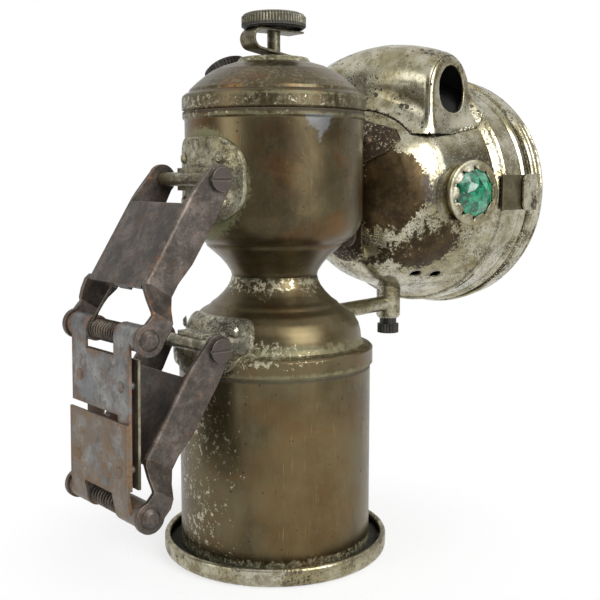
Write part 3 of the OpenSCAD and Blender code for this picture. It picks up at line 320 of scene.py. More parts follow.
def worn_nickel(name, wear, pits, shift, polish, dirt=0.0, spots=0.4, bias=None, stain=None,
                edge=0.25, curved=None, bright=0.35):
    """Nickel plate, pitted, and rubbed through to brown brass in patches."""
    f = Finish(name)
    broad = f.grain(17, 5, 0.6, shift=shift)
    cloud = f.grain(5, 5, 0.62, shift=shift + 3)
    fine = f.grain(1.2, 6, 0.7, shift=shift + 7)
    crowd = f.grain(8, 3, 0.5, shift=shift + 5)
    speck = f.grain(0.5, 3, 0.62, shift=shift + 11)
    lean = broad * 0.42 + cloud * 0.26 + fine * 0.32 + wear
    if bias is not None:
        lean = lean + bias(f)
    bare = lean.over(0.62, 0.01)
    near_bare = lean.over(0.6, 0.05)
    warmth = (broad * 0.6 + cloud * 0.4).over(0.48, 0.1)
    f.ground(f.mix(NICKEL_LIGHT, NICKEL_WARM, warmth), fine * 0.1 + polish, 1.0, edge, curved)

    dull = (cloud * 0.5 + fine * 0.5).over(0.54, 0.05)
    f.lay(dull * 0.45, NICKEL_GREY, polish + 0.16)
    f.lay(near_bare * 0.3, NICKEL_WARM, polish + 0.1)
    bare_tone = (cloud * 0.6 + fine * 0.4).over(0.5, 0.1)
    f.lay(bare, f.mix(BARE_BRASS, BARE_BRASS_DARK, bare_tone), 0.32, 0.9, rise=-0.4)

    pit = (speck + crowd * 0.34 + near_bare * 0.07).over(0.87 - pits * 0.12, 0.015)
    large = f.dots(3.2, shift) - (crowd - 0.5) * 0.8 - cloud * 0.1
    small = f.dots(1.2, shift + 3) - (crowd - 0.5) * 1.2
    spot = large.under(0.08 + spots * 0.06, 0.04).most(small.under(0.1 + spots * 0.08, 0.06))
    pit_share = pit * (1 - bare * 0.85)
    spot_share = (spot * (spots + 0.3)).least(1.0) * (1 - bare * 0.7)
    f.lay(pit_share.most(spot_share) * 0.9, PIT_BROWN, 0.6, 0.3, rise=-0.9)

    grimy = (crowd * 0.5 + fine * 0.5 + dirt - 0.5).over(0.3, 0.12)
    f.lay(grimy, GRIME, 0.7, 0.2, rise=0.4)
    if stain is not None:
        stain(f, fine)
    # Rubbed edges, with a painted highlight laid on them in the lightest nickel.
    f.lay(f.edge.over(0.06, 0.05) * bright, NICKEL_LIGHT, polish)
    f.relief = f.relief + fine * 0.25 + cloud * 0.9
    f.done(0.05)


def brown_brass(name, shift, film=0.0, plate_left=None, stain=None, polish=0.3, deep=0.0,
                curved=None, red=0.3):
    """Brass gone brown under a thin olive film, with the last specks of its plate."""
    f = Finish(name)
    streak = f.grain(8, 5, 0.6, stretch=(1, 1, 2.4), shift=shift, warp=0.5)
    cloud = f.grain(19, 4, 0.5, shift=shift + 2)
    fine = f.grain(0.9, 6, 0.7, shift=shift + 5)
    crowd = f.grain(9, 3, 0.5, shift=shift + 8)
    darkness = (streak * 0.4 + cloud * 0.6 + deep).over(0.5, 0.17)
    f.ground(f.mix(BRASS_MID, BRASS_DARK, darkness * 0.85), streak * 0.1 + polish, 0.9,
             curved=curved)

    redness = f.grain(12, 5, 0.6, shift=shift + 21, warp=0.6).over(0.57, 0.09)
    f.lay(redness * red, BRASS_RED, polish)
    filmed = f.grain(5, 6, 0.7, shift=shift + 27) * 0.6 + fine * 0.4 + film
    f.lay(filmed.over(0.56, 0.11) * 0.42, OLIVE_FILM, 0.46, 0.6, rise=0.15)
    spot = f.dots(2.7, shift).under(0.13, 0.05) * crowd.over(0.5, 0.05)
    f.lay(spot * 0.8, PIT_BROWN, 0.6, 0.4, rise=-0.6)
    scratch = f.grain(0.45, 3, 0.6, stretch=(1, 1, 22), shift=shift).over(0.68, 0.03)
    f.lay(scratch * 0.3, BRASS_SCRATCH, polish - 0.05)

    if plate_left is not None:
        lean = f.grain(1.5, 7, 0.75, shift=shift + 13) + crowd * 0.2 + plate_left(f)
        f.lay(lean.over(0.71, 0.012) * 0.9, f.mix(NICKEL_SPECK, NICKEL_GLINT, fine), 0.28, 1.0,
              rise=0.5)
    if stain is not None:
        stain(f, fine)
    f.lay(f.edge.over(0.06, 0.05) * 0.4, BRASS_EDGE, polish)
    f.relief = f.relief + streak * 0.6 + fine * 0.2
    f.done(0.045)


def browned_steel(name, base, worn, rust, shift, polish, shine=0.8, edge_rust=0.0, stain=None):
    """Steel with a brown skin, rubbed bright along its edges and rusting in places."""
    f = Finish(name)
    cloud = f.grain(7, 6, 0.6, shift=shift)
    blot = f.grain(2.6, 5, 0.65, shift=shift + 6)
    fine = f.grain(0.8, 6, 0.7, shift=shift + 4)
    rubbed = (cloud * 0.5 + blot * 0.3 + fine * 0.2).over(0.52, 0.1)
    f.ground(f.mix(base, worn, rubbed), fine * 0.16 + polish, shine)

    f.lay(blot.over(0.57, 0.04) * 0.45, STEEL_SPOT, polish + 0.1)
    near_edge = f.turned(f.rounded(3.0)).over(0.04, 0.05) * edge_rust
    patch = f.grain(6, 7, 0.72, shift=shift + 9) * 0.6
    lean = patch + blot * 0.1 + fine * 0.3 + near_edge + rust
    f.lay(lean.over(0.54, 0.06) * 0.55, RUST_DARK, 0.6, 0.5)
    f.lay(lean.over(0.6, 0.03) * 0.75, f.mix(RUST_DARK, RUST_LIGHT, fine.over(0.52, 0.08)),
          0.75, 0.1, rise=0.6)
    freckle = f.dots(1.5, shift).under(0.17, 0.08) * cloud.over(0.5, 0.08)
    f.lay(freckle * 0.5, RUST_LIGHT, 0.7, 0.2, rise=-0.5)

    if stain is not None:
        stain(f, fine)
    f.lay(f.edge.over(0.05, 0.04) * 0.5, STEEL_EDGE, 0.34, 0.9)
    f.relief = f.relief + fine * 0.7 + blot * 1.1 + cloud * 0.9
    f.done(0.06)


def soft_part(name, first, second, size, rough, depth):
    """Rubber, felt or fired stone, with a grain of the given size."""
    f = Finish(name)
    fine = f.grain(size, 5, 0.7, shift=3)
    share = (f.grain(size * 5, 4) * 0.5 + fine * 0.5).over(0.5, 0.15)
    f.ground(f.mix(first, second, share), fine * 0.1 + rough, 0.0, edge=0.15)
    f.relief = fine
    f.done(depth)


def cut_glass(name, deep, bright):
    """Cut glass over foil: each facet lit in its own way, with a few chips and a faint painted
    glow.
    """
    f = Finish(name)
    facing = f.node("ShaderNodeNewGeometry", {}, {}, "True Normal")
    facet = f.node("ShaderNodeTexNoise", {"noise_dimensions": "3D"},
                   {"Vector": facing, "Scale": 3.1, "Detail": 1.0})
    cloud = f.grain(1.9, 6, 0.72)
    chip = f.grain(0.6, 3, 0.6, shift=5).over(0.67, 0.02)
    colour = f.mix(deep, bright, (facet * 0.5 + cloud * 0.6).over(0.57, 0.13))
    colour = f.mix(colour, tint(200, 240, 215), chip * 0.3)
    # The emission is a faint painted glow in the glass's own colour.
    f.shown({
        "Base Color": colour, "Roughness": cloud * 0.1 + 0.06, "Normal": f.bump(cloud, 0.03),
        "Coat Weight": 0.6, "Coat Roughness": 0.04, "IOR": 1.52,
        "Emission Color": colour, "Emission Strength": 0.1})


def clear_glass(name):
    """Clear glass with a faint smear over it."""
    f = Finish(name)
    smear = f.grain(14, 5, 0.6, stretch=(1, 1, 2)).over(0.5, 0.2)
    f.shown({
        "Base Color": f.mix(tint(246, 250, 246), tint(228, 234, 226), smear),
        "Roughness": smear * 0.03 + 0.01, "IOR": 1.5, "Transmission Weight": 1.0,
        "Normal": f.bump(f.grain(0.8, 4), 0.002)})


def silvered(name):
    """Reflector dish: dulled silver with heat stain near the flame."""
    f = Finish(name)
    along = f.head_place()[0]
    cloud = f.grain(9, 5)
    fine = f.grain(1.2, 5, 0.65)
    f.ground(tint(214, 212, 204), fine * 0.12 + 0.1, 1.0, edge=0.1)
    f.lay((72 - along + cloud * 14).over(14, 8) * 0.7, tint(150, 132, 98), 0.34, 0.8)
    f.lay(fine.over(0.64, 0.03) * 0.6, tint(80, 74, 62), 0.5)
    f.relief = fine
    f.done(0.01)


def black_japan(name):
    """Black lacquer, rubbed to brass on the high spots."""
    f = Finish(name)
    cloud = f.grain(3, 5, 0.6)
    fine = f.grain(0.7, 5, 0.7, shift=2)
    f.ground(f.mix(tint(24, 22, 20), tint(42, 38, 32), cloud.over(0.5, 0.1)),
             fine * 0.2 + 0.35, 0.1, edge=0.15)
    rubbed = (cloud * 0.5 + fine * 0.5).over(0.62, 0.02).most(f.edge.over(0.09, 0.04) * 0.6)
    f.lay(rubbed, tint(120, 98, 64), 0.35, 0.9, rise=-0.4)
    f.relief = f.relief + cloud
    f.done(0.03)


# Where plate, wear, stains and grime lie on each part

def shore(value, fine, spread):
    """A mask with its edge broken up by fine noise."""
    return (value + (fine - 0.5) * spread).over(0.5, 0.12)


def either(value, middles, reach, soft):
    """1 near either of two middles."""
    first, second = [value.near(middle, reach, soft) for middle in middles]
    return first.most(second)


def chamber_plate(f):
    """Plate lasts on the side towards the bracket and on top of the shoulder."""
    back = (f.x * -1.0 + f.y * 0.12 - 10).over(12, 10) * (1 - f.z.over(60, 8) * 0.2)
    top = f.z.over(81, 4) * (1 - f.z.over(88.5, 1.5))
    ledge = f.z.near(66, 4.0, 2.0) * (f.x * -1).over(2, 16)
    return (back * 0.17).most(top * 0.24).most(ledge * 0.2) - 0.13


def tank_plate(f):
    """Plate lasts towards the bracket and on the cap's beads."""
    back = (f.x * -0.85 + f.y * 0.5 - 8).over(13, 9)
    low = f.z.between(99, 103, 1.5) * back
    side = f.z.near(CAP_SIDE_Z, 2.2, 0.7)
    seam = f.z.near(133.6, 0.9, 0.4)
    return back * 0.12 + side * 0.14 + seam * 0.12 + low * 0.08 - 0.14


def chamber_stain(f, fine):
    """Old dirt and verdigris along the shoulder's seam and the foot, and a painted warm highlight
    on the front.
    """
    seam = f.z.near(CHAMBER_SEAM_Z, 1.6, 1.2).most(f.z.near(SHOULDER_EDGE_Z, 2.4, 1.6))
    foot = f.z.under(6.4, 1.8)
    patchy = f.grain(2.2, 6, 0.75, shift=51) * 0.6 + fine * 0.4
    green = f.mix(tint(136, 130, 100), VERDIGRIS, fine.over(0.5, 0.1))
    crust = f.mix(tint(56, 60, 42), tint(142, 138, 112),
                  (patchy * 0.5 + fine * 0.5).over(0.53, 0.05))
    f.lay(shore(seam * 0.52, patchy, 1.5) * 0.55, green, 0.8, 0.15, rise=0.5)
    f.lay(shore(foot * 0.6, patchy, 1.7) * 0.8, crust, 0.85, 0.1, rise=0.7)
    f.lay(f.z.near(CHAMBER_SEAM_Z - 1, 0.5, 0.4) * 0.6, GRIME, 0.8, 0.2)
    f.lay(f.z.under(3.2, 0.6) * 0.8, GRIME, 0.8, 0.1)
    # Painted highlight: a warm, lighter patch on the chamber's front where the light falls.
    painted_warm_highlight = ((f.x + 9) ** 2 + (f.y + 28) ** 2 + ((f.z - 24) * 0.5) ** 2).under(180, 170)
    f.lay(painted_warm_highlight * 0.2, tint(136, 104, 56), 0.3)


def tank_stain(f, fine):
    """Grime at beads and saddle, painted shade down the middle of the front, and a grey scrap of
    plate by the seam.
    """
    patchy = f.grain(2.2, 6, 0.75, shift=53) * 0.6 + fine * 0.4
    crust = f.mix(tint(112, 106, 80), VERDIGRIS, fine.over(0.5, 0.1))
    bead = f.z.near(CAP_BEAD_LOW_Z, 0.9, 0.7).most(f.z.near(CAP_BEAD_HIGH_Z, 0.7, 0.6))
    f.lay(shore(bead * 0.54, patchy, 1.8) * 0.5, crust, 0.8, 0.15, rise=0.4)
    f.lay(f.z.near(CAP_EDGE_Z, 0.45, 0.3) * 0.7, GRIME, 0.8, 0.2)
    side = shore(f.z.near(CAP_SIDE_Z, 2.0, 0.6) * 0.5, patchy, 1.8)
    f.lay(side * 0.55, f.mix(tint(58, 52, 36), tint(124, 118, 94), patchy.over(0.54, 0.06)),
          0.6, 0.4, rise=0.4)

    saddle = ((f.y / 17) ** 2 + ((f.z - SADDLE_Z) / 17) ** 2).under(1.0, 0.35)
    back = (f.x * -1).over(10, 3)
    f.lay(shore(saddle * back * 0.66, fine, 1.0) * 0.6, tint(134, 136, 98), 0.7, 0.3, rise=0.3)

    ragged = (f.grain(2.8, 6, 0.72, shift=4) - 0.5) * 11
    wedge = ((f.x + 4.5).size() - (f.z - 126.6) * 0.75 + ragged).under(0, 0.7)
    scrap = wedge * f.z.under(CAP_BEAD_LOW_Z, 0.4) * (f.y * -1).over(10, 2)
    f.lay(scrap * 0.85, f.mix(tint(84, 86, 86), tint(126, 128, 130), fine), 0.42, 0.75, rise=0.3)

    # Painted shade: a dark band down the middle of the tank as the camera sees it, broken up by
    # blotches.
    face = (f.x * VIEW_COS - f.y * VIEW_SIN).near(4, 10, 8) * (f.y * -1).over(4, 6)
    shade_blotch = f.grain(7, 6, 0.72, stretch=(1, 1, 1.8), shift=57, warp=0.5).over(0.48, 0.12)
    f.lay(face * f.z.between(96, 131, 4) * (shade_blotch * 0.6 + 0.25), tint(58, 50, 35), 0.36)
    speckle = f.grain(1.1, 5, 0.7, shift=9) * 0.7 + f.grain(6, 4, 0.6, shift=3) * 0.3
    dome = (f.z.over(DOME_Z, 1.0) * speckle).over(0.54, 0.06)
    f.lay(dome * 0.42, tint(132, 128, 104), 0.56, 0.5, rise=0.2)


def bowl_wear(f):
    """Bare brass at the back and low on the right flank, plate kept by the band."""
    along, across, up = f.head_place()
    right = across.under(-1, 5)
    high = (((along - 36) / 8) ** 2 + ((up - 1) / 15) ** 2).under(1.0, 0.75)
    low = (((along - 44) / 16) ** 2 + ((up + 15) / 10) ** 2).under(1.0, 0.75)
    below = up.under(-18, 8) * along.under(60, 10)
    band = along.over(70, 5)
    return (high * 0.26).most(low * 0.17) * right + below * 0.07 - band * 0.06 - 0.05


def bowl_stain(f, fine):
    """Soot and painted shade under the hood, dirt and painted shade in the band's grooves, and
    burnt plate beside the brass.
    """
    along, across, up = f.head_place()
    low, high = BAND_GROOVES
    # Dirt and painted shade in the band's grooves, where the bowl meets the band and the door.
    groove = along.near(low, 0.5, 0.4).most(along.near(high, 0.8, 0.5))
    f.lay(shore(groove * 0.66, fine, 1.2) * 0.5, *DARK_GROOVE_FILM)
    beside = across.under(-14, 4) * along.between(41, 50, 3) * up.between(-6, 8, 5)
    burnt = (f.grain(0.9, 4, 0.7, shift=6) * 0.6 + beside * 0.24).over(0.5, 0.03)
    f.lay(burnt * beside * 0.8, tint(62, 60, 60), 0.4)
    # Soot and painted shade on the bowl inside the hood.
    hidden = along.near(BARREL_OUT, 12.3, 0.3) * across.size().under(23.3, 0.3) * up.over(18, 1)
    f.lay(hidden, *SOOT_AND_SHADE_FILM)


def hood_stain(f, fine):
    """Soot and painted shade inside the barrel, and scratches along its top."""
    along, across, up = f.head_place()
    bulge = (across / TAPER_REACH) ** 2
    rise = (up - BARREL_UP + bulge ** SAG_POWER * SAG).most(0.0)
    depth = ((along - BARREL_OUT) ** 2 + rise ** 2) ** 0.5 - BARREL_R + bulge ** TAPER_POWER * TAPER
    scratch = f.grain(0.3, 3, 0.6, stretch=(1, 26, 1), shift=7).over(0.64, 0.04)
    f.lay(scratch * 0.3, tint(214, 208, 188), 0.3)
    # Soot and painted shade inside the barrel, seen through the vents.
    f.lay(depth.under(-0.5, 0.12) * across.size().under(23.9, 0.15), *SOOT_AND_SHADE_FILM)


def door_wear(f):
    """The plate is thin in the ring's grooves and on its lower half."""
    along, _, up = f.head_place()
    return either(along, DOOR_GROOVES, 0.7, 0.4) * 0.1 + up.under(0, 30) * 0.04


def door_stain(f, fine):
    """Dirt in the ring's grooves."""
    groove = either(f.head_place()[0], DOOR_GROOVES, 0.35, 0.25)
    f.lay(shore(groove * 0.8, fine, 0.8) * 0.85, *DARK_GROOVE_FILM)


def light_stain(f, fine):
    """Painted shade in black in the slits between the petals, and a dark smudge near the glass."""
    along, across, up = f.head_place()
    out, side = along - LIGHT_OUT, across.size() - LIGHT_ACROSS
    height = side * math.cos(LIGHT_LEAN) - out * math.sin(LIGHT_LEAN)
    reach = (out ** 2 + side ** 2 + up ** 2 - height ** 2) ** 0.5
    # Painted shade: black low in the slits, below the petals.
    f.lay(height.under(-0.25, 0.15) * reach.under(JEWEL_R + 1.2, 0.1), SOOT_AND_SHADE, 0.9, 0.0)
    smudge = f.grain(1.2, 5, 0.7, shift=81).over(0.48, 0.06)
    f.lay(reach.under(JEWEL_R + 1.5, 0.7) * smudge * 0.5, GRIME, 0.6, 0.4)


def tray_wear(f):
    """The rim's top and bottom are rubbed more than its side."""
    return (f.z - 3).size().over(2.2, 0.8) * 0.05


def tray_stain(f, fine):
    """Brown smudges on the rim, green and black dirt in the channel inside it."""
    ring = (f.x ** 2 + f.y ** 2) ** 0.5
    smudge = f.grain(6, 6, 0.72, stretch=(1, 1, 0.5), shift=61).over(0.53, 0.06)
    f.lay(smudge * 0.5, tint(104, 92, 70), 0.42)
    channel = ring.under(TRAY_INSIDE_R, 0.4) * f.z.between(0.4, 5.4, 0.5)
    f.lay(channel * 0.9, f.mix(tint(20, 20, 16), tint(80, 88, 58), fine.over(0.55, 0.1)),
          0.85, 0.1, rise=0.6)


def knob_stain(f, fine):
    """Dull skin, painted shade in black round the knob's foot, black in its grooves, crust on the
    valve's plate.
    """
    ring = (f.x ** 2 + f.y ** 2) ** 0.5
    f.lay(fine.over(0.45, 0.1) * 0.35 + 0.4, tint(70, 66, 50), 0.42, 0.85)
    teeth = (f.y.maths("ARCTAN2", f.x) * KNOB_TEETH).maths("COSINE").under(-0.2, 0.5)
    side = ring.over(KNOB_R - 1.2, 0.2) * f.z.between(KNOB_Z + 1.2, KNOB_Z + 4.2, 0.2)
    f.lay(teeth * side * 0.9, SOOT_AND_SHADE, 0.6, 0.3, rise=-0.6)
    # Painted shade: a black band round the foot of the knob's side.
    f.lay(f.z.between(KNOB_Z - 0.15, KNOB_Z + 1.3, 0.1), SOOT_AND_SHADE, 0.6, 0.1)
    plate = f.z.between(*VALVE_PLATE_Z, 0.1)
    lump = f.grain(1.3, 6, 0.75, shift=33)
    f.lay(plate * lump.over(0.46, 0.05) * 0.8, tint(118, 112, 80), 0.7, 0.3, rise=1.0)
    f.lay(plate * lump.over(0.56, 0.03) * 0.9, tint(206, 202, 182), 0.34, 0.9, rise=0.6)


def saddle_stain(f, fine):
    """Solder crust and dirt."""
    lump = f.grain(2.0, 6, 0.75, shift=35)
    f.lay(lump.over(0.5, 0.05) * 0.4, tint(80, 76, 58), 0.5, 0.7, rise=0.6)
    f.lay((lump * 0.6 + fine * 0.4).over(0.56, 0.03) * 0.7, tint(38, 34, 26), 0.7, 0.3, rise=-0.5)


def rod_stain(f, fine):
    """The rods' ends have the arms' brown skin."""
    end = f.y.size().over(15.2, 0.3) * (f.x * -1).over(15, 2)
    dull = f.grain(2.2, 6, 0.75, shift=39).over(0.46, 0.05)
    f.lay(dull * 0.6, tint(66, 62, 52), 0.5, 0.7)
    f.lay(end, f.mix(tint(62, 54, 50), tint(92, 84, 78), fine), 0.5, 0.7)


def yoke_stain(f, fine):
    """The bracket has gone nearly black, with plate left at its tips."""
    black = f.grain(4, 5, 0.65, shift=71).over(0.42, 0.1)
    f.lay(black * 0.5 + 0.35, tint(50, 36, 28), 0.42, 0.7)
    tip = f.head_place()[0].over(33, 3)
    left = (f.grain(1.0, 6, 0.75, shift=73) + tip * 0.04).over(0.62, 0.02)
    f.lay(left * tip * 0.9, tint(190, 180, 150), 0.3, 1.0)


def plate_stain(f, fine):
    """The lower sheet is browner than the upper one."""
    brown = (f.grain(5, 6, 0.7, shift=91) * 0.7 + fine * 0.3).over(0.47, 0.08)
    brown = brown * f.z.under(SHEET_PARTING_Z, 1)
    f.lay(brown * 0.68, f.mix(tint(84, 69, 48), tint(136, 108, 72), fine), 0.55, 0.5)


def inner_stain(f, fine):
    """Brown rust between the outer sheets, dirty bare metal along the right edge."""
    f.lay(f.y.over(-12.5, 0.4) * 0.85, f.mix(tint(78, 54, 38), tint(112, 78, 52), fine), 0.6, 0.3)


brown_brass("aged_tank", 1.0, -0.02, tank_plate, tank_stain, polish=0.26, deep=0.04, red=0.62,
            curved=lambda f: f.z.under(131, 0.5))
brown_brass("aged_chamber", 31.0, -0.01, chamber_plate, chamber_stain, deep=-0.03,
            curved=lambda f: f.z.over(68, 0.5))
brown_brass("plain_brass", 12.0)
brown_brass("yoke_brass", 41.0, stain=yoke_stain, deep=0.12, polish=0.4)
worn_nickel("head_plate", 0.0, 0.75, 2.0, 0.14, spots=0.35, bias=bowl_wear, stain=bowl_stain,
            curved=lambda f: f.head_place()[0].under(69, 1))
worn_nickel("hood_plate", -0.05, 0.3, 19.0, 0.2, spots=0.68, stain=hood_stain, edge=0.6,
            bright=0.0)
worn_nickel("door_plate", -0.01, 0.8, 8.0, 0.15, dirt=0.05, bias=door_wear, stain=door_stain)
worn_nickel("light_plate", -0.1, 0.2, 44.0, 0.4, spots=0.1, stain=light_stain)
worn_nickel("tray_plate", 0.0, 0.6, 5.0, 0.26, bias=tray_wear, stain=tray_stain)
worn_nickel("knob_plate", 0.0, 0.6, 14.0, 0.34, dirt=0.1, stain=knob_stain)
worn_nickel("saddle_plate", 0.03, 0.95, 23.0, 0.3, dirt=0.2, stain=saddle_stain)
worn_nickel("rod_plate", -0.02, 0.8, 29.0, 0.28, dirt=0.1, stain=rod_stain)
worn_nickel("pipe_plate", -0.02, 0.7, 37.0, 0.24, dirt=0.1)
worn_nickel("strap_plate", 0.1, 0.3, 3.0, 0.3)
browned_steel("leaf_steel", tint(70, 64, 46), tint(104, 96, 72), -0.14, 6.0, 0.36)
browned_steel("arm_steel", tint(72, 67, 62), tint(116, 107, 100), -0.04, 3.0, 0.38,
              shine=0.85, edge_rust=0.05)
browned_steel("plate_steel", tint(108, 110, 111), tint(148, 148, 144), 0.01, 9.0, 0.36,
              shine=0.85, edge_rust=0.09, stain=plate_stain)
browned_steel("inner_steel", tint(112, 104, 84), tint(150, 143, 120), 0.0, 13.0, 0.45,
              shine=0.6, stain=inner_stain)
browned_steel("spring_steel", tint(66, 60, 54), tint(112, 102, 90), -0.05, 17.0, 0.34,
              shine=0.9)
black_japan("black_cap")
silvered("silver_dish")
cut_glass("green_glass", tint(2, 48, 34), tint(38, 138, 100))
cut_glass("red_glass", tint(84, 4, 8), tint(204, 40, 34))
clear_glass("lens_glass")
soft_part("old_rubber", tint(30, 29, 24), tint(58, 56, 44), 1.2, 0.85, 0.04)
soft_part("felt", tint(176, 166, 140), tint(138, 126, 100), 0.5, 0.9, 0.15)
soft_part("stone", tint(224, 214, 196), tint(190, 176, 150), 0.5, 0.7, 0.02)

DRESSED = {
    "aged_tank": ["water_tank", "tank_cap"],
    "aged_chamber": ["carbide_chamber", "generator_shoulder"],
    "plain_brass": ["drip_tube", "valve_seat", "filler_neck"],
    "head_plate": ["head_bowl"],
    "door_plate": ["door_ring", "door_hinge_leaf", "bowl_hinge_leaf", "door_hinge_pin"],
    "tray_plate": ["base_tray", "carbide_cup", "filter_plate"],
    "knob_plate": ["valve_knob", "knob_clip", "valve_plate", "valve_spindle"],
    "saddle_plate": ["upper_saddle", "lower_saddle", "saddle_rivets"],
    "rod_plate": ["upper_rod", "lower_rod"],
    "pipe_plate": ["gas_pipe", "burner_tube"],
    "yoke_brass": ["head_yoke", "yoke_rivets"],
    "strap_plate": ["door_strap"],
    "leaf_steel": ["catch_leaf"],
    "arm_steel": ["upper_arm", "lower_arm", "upper_pin", "lower_pin"],
    "plate_steel": ["upper_back_plate", "lower_back_plate", "back_plate_rivets"],
    "inner_steel": ["inner_back_plate"],
    "spring_steel": ["lens_clip"],
    "black_cap": ["filler_cap", "drain_plug"],
    "silver_dish": ["reflector"],
    "lens_glass": ["lens"],
    "old_rubber": ["base_seal", "filler_washer"],
    "felt": ["gas_filter"],
    "stone": ["burner"],
}
for finish_name, members in DRESSED.items():
    for member in members:
        for slot in nodes[member].material_slots:
            slot.material = FINISHES[finish_name]


# Pieces made here in place of the plainer CAD ones

def head_to_row(points):
    """Points given along the head's axis, to its left and up, in the lamp's own frame."""
    c, s = math.cos(HEAD_TURN), math.sin(HEAD_TURN)
    along, across, up = np.asarray(points, float).T
    return np.column_stack([along * c - across * s, along * s + across * c, up + HEAD_Z])


def piece(name, points, faces, finish, body, smooth=True):
    """A mesh in millimetres, finished, set riding and named for the node it stands for."""
    mesh = bpy.data.meshes.new(name)
    mesh.from_pydata((np.asarray(points, float) * MM).tolist(), [],
                     [list(map(int, face)) for face in faces])
    mesh.polygons.foreach_set("use_smooth", [smooth] * len(mesh.polygons))
    mesh.materials.append(FINISHES[finish])
    mesh.validate()
    made = bpy.data.objects.new("fine_" + name, mesh)
    bpy.context.scene.collection.objects.link(made)
    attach(made, body)
    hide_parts(name)


# Profile of the bowl: distance along the head's axis, and radius
BOWL_LINE = np.array([
    [29.3, 0.0], [29.32, 1.2], [29.9, 6.0], [31.2, 11.0], [34.1, 17.2], [38.0, 22.4],
    [42.6, 26.6], [47.6, 29.7], [50.5, 30.95], [53.35, 31.91], [68.3, 36.2], [69.9, 36.65],
    [71.7, 38.0], [72.6, 38.8], [73.3, 39.3], [83.7, 39.6], [84.5, 40.3], [85.7, 40.6],
    [86.9, 40.3], [87.7, 39.1], [87.9, 38.4], [90.9, 38.4]])


def rounded_overlap(a, b, radius):
    """Distance outside what two distances share, with the edge rounded."""
    p, q = a + radius, b + radius
    return np.hypot(np.maximum(p, 0), np.maximum(q, 0)) + np.minimum(np.maximum(p, q), 0) - radius


def blend(a, b, reach):
    """The lesser of two distances, with a fillet where they meet."""
    h = np.clip(0.5 + 0.5 * (b - a) / reach, 0, 1)
    return b + (a - b) * h - reach * h * (1 - h)


def bowl_gap(s, w, u):
    """Distance outside the bowl."""
    out = np.hypot(w, u)
    ball = np.hypot(s - BOWL_OUT, out) - BOWL_R
    flank = (out - np.interp(s, BOWL_LINE[:, 0], BOWL_LINE[:, 1])) * math.cos(FLANK)
    return np.where(s < FLANK_FROM, ball, flank)


def barrel_gap(s, w, u):
    """Distance outside the hood's rounded barrel, which lies across the head."""
    aside = np.abs(w)
    t = np.clip((aside / TAPER_REACH) ** 2, 0, 1.4)
    radius = BARREL_R - TAPER * t ** TAPER_POWER
    middle = BARREL_UP - SAG * t ** SAG_POWER
    arch = np.hypot(s - BARREL_OUT, np.maximum(u - middle, 0)) - radius
    return rounded_overlap(arch, aside - BARREL_END, BARREL_CORNER)


def smooth_line(points, steps):
    """A rounded line through points."""
    p = np.asarray(points, float)
    p = np.vstack([2 * p[0] - p[1], p, 2 * p[-1] - p[-2]])
    t = np.linspace(0, 1, steps, endpoint=False)[:, None]
    rows = []
    for a, b, c, d in zip(p, p[1:], p[2:], p[3:]):
        square, cube = 2 * a - 5 * b + 4 * c - d, 3 * b - a - 3 * c + d
        rows.append(0.5 * (2 * b + (c - a) * t + square * t ** 2 + cube * t ** 3))
    return np.vstack(rows + [p[-2:-1]])


def outline_gap(s, w, line):
    """Distance outside a closed outline, on a plane."""
    best = np.full(s.shape, 1e9)
    inside = np.zeros(s.shape, bool)
    for (x0, y0), (x1, y1) in zip(line, np.roll(line, -1, 0)):
        dx, dy = x1 - x0, y1 - y0
        k = np.clip(((s - x0) * dx + (w - y0) * dy) / (dx * dx + dy * dy + 1e-12), 0, 1)
        best = np.minimum(best, np.hypot(s - x0 - k * dx, w - y0 - k * dy))
        if dy:
            inside ^= ((y0 > w) != (y1 > w)) & (s < dx * (w - y0) / dy + x0)
    return np.where(inside, -best, best)


# Outline of the hood's skirt seen from above: its left half, then the whole of it
SKIRT = smooth_line([
    [79.2, 0], [79.2, 12], [79.0, 24], [77.8, 27.6], [74.2, 29.6], [70.2, 29.9], [64.8, 28.9],
    [54.2, 26.4], [47.6, 25], [44.9, 23.4], [43.7, 20.5], [43.4, 10], [43.4, 0]], 6)
SKIRT = np.vstack([SKIRT, SKIRT[-2:0:-1] * [1, -1]])
SKIRT_SHEET = 0.62
SKIRT_EDGE = 0.35
SKIRT_FILLET = 4.5
BARREL_SHEET = 0.85
SEAT_GAP = 0.03
CREASE = 0.4
FAR_OFF = 9.0


def hood_gap(s, w, u, skirt=None):
    """Distance outside the hood: barrel and skirt in one pressed shell, with its two vents."""
    barrel, bowl = barrel_gap(s, w, u), bowl_gap(s, w, u)
    if skirt is None:
        skirt = outline_gap(s, w, SKIRT)
    rim = rounded_overlap(skirt, bowl - SKIRT_SHEET, SKIRT_EDGE)
    form = blend(barrel, np.where(u > 0, rim, FAR_OFF), SKIRT_FILLET)
    vent = np.hypot(s - BARREL_OUT, u - VENT_UP) - VENT_R
    shell = np.maximum(form, -(barrel + BARREL_SHEET))
    seated = -blend(-shell, bowl - SEAT_GAP, CREASE)
    return np.maximum(seated, -vent)


def crossings(value):
    """The mean place, in cells, where a field turns from sign to sign on a cell's edges."""
    cells = tuple(n - 1 for n in value.shape)
    total, count = np.zeros(cells + (3,)), np.zeros(cells)
    for a in [(i, j, k) for i in (0, 1) for j in (0, 1) for k in (0, 1)]:
        for axis in range(3):
            if a[axis]:
                continue
            b = tuple(v + (n == axis) for n, v in enumerate(a))
            va = value[tuple(slice(v, v + n) for v, n in zip(a, cells))]
            vb = value[tuple(slice(v, v + n) for v, n in zip(b, cells))]
            crossing = (va < 0) != (vb < 0)
            k = np.where(crossing, va / np.where(crossing, va - vb, 1), 0)
            place = np.array(a, float)[None, :] + np.zeros(cells + (3,))
            place[..., axis] += k
            total += place * crossing[..., None]
            count += crossing
    return total, count


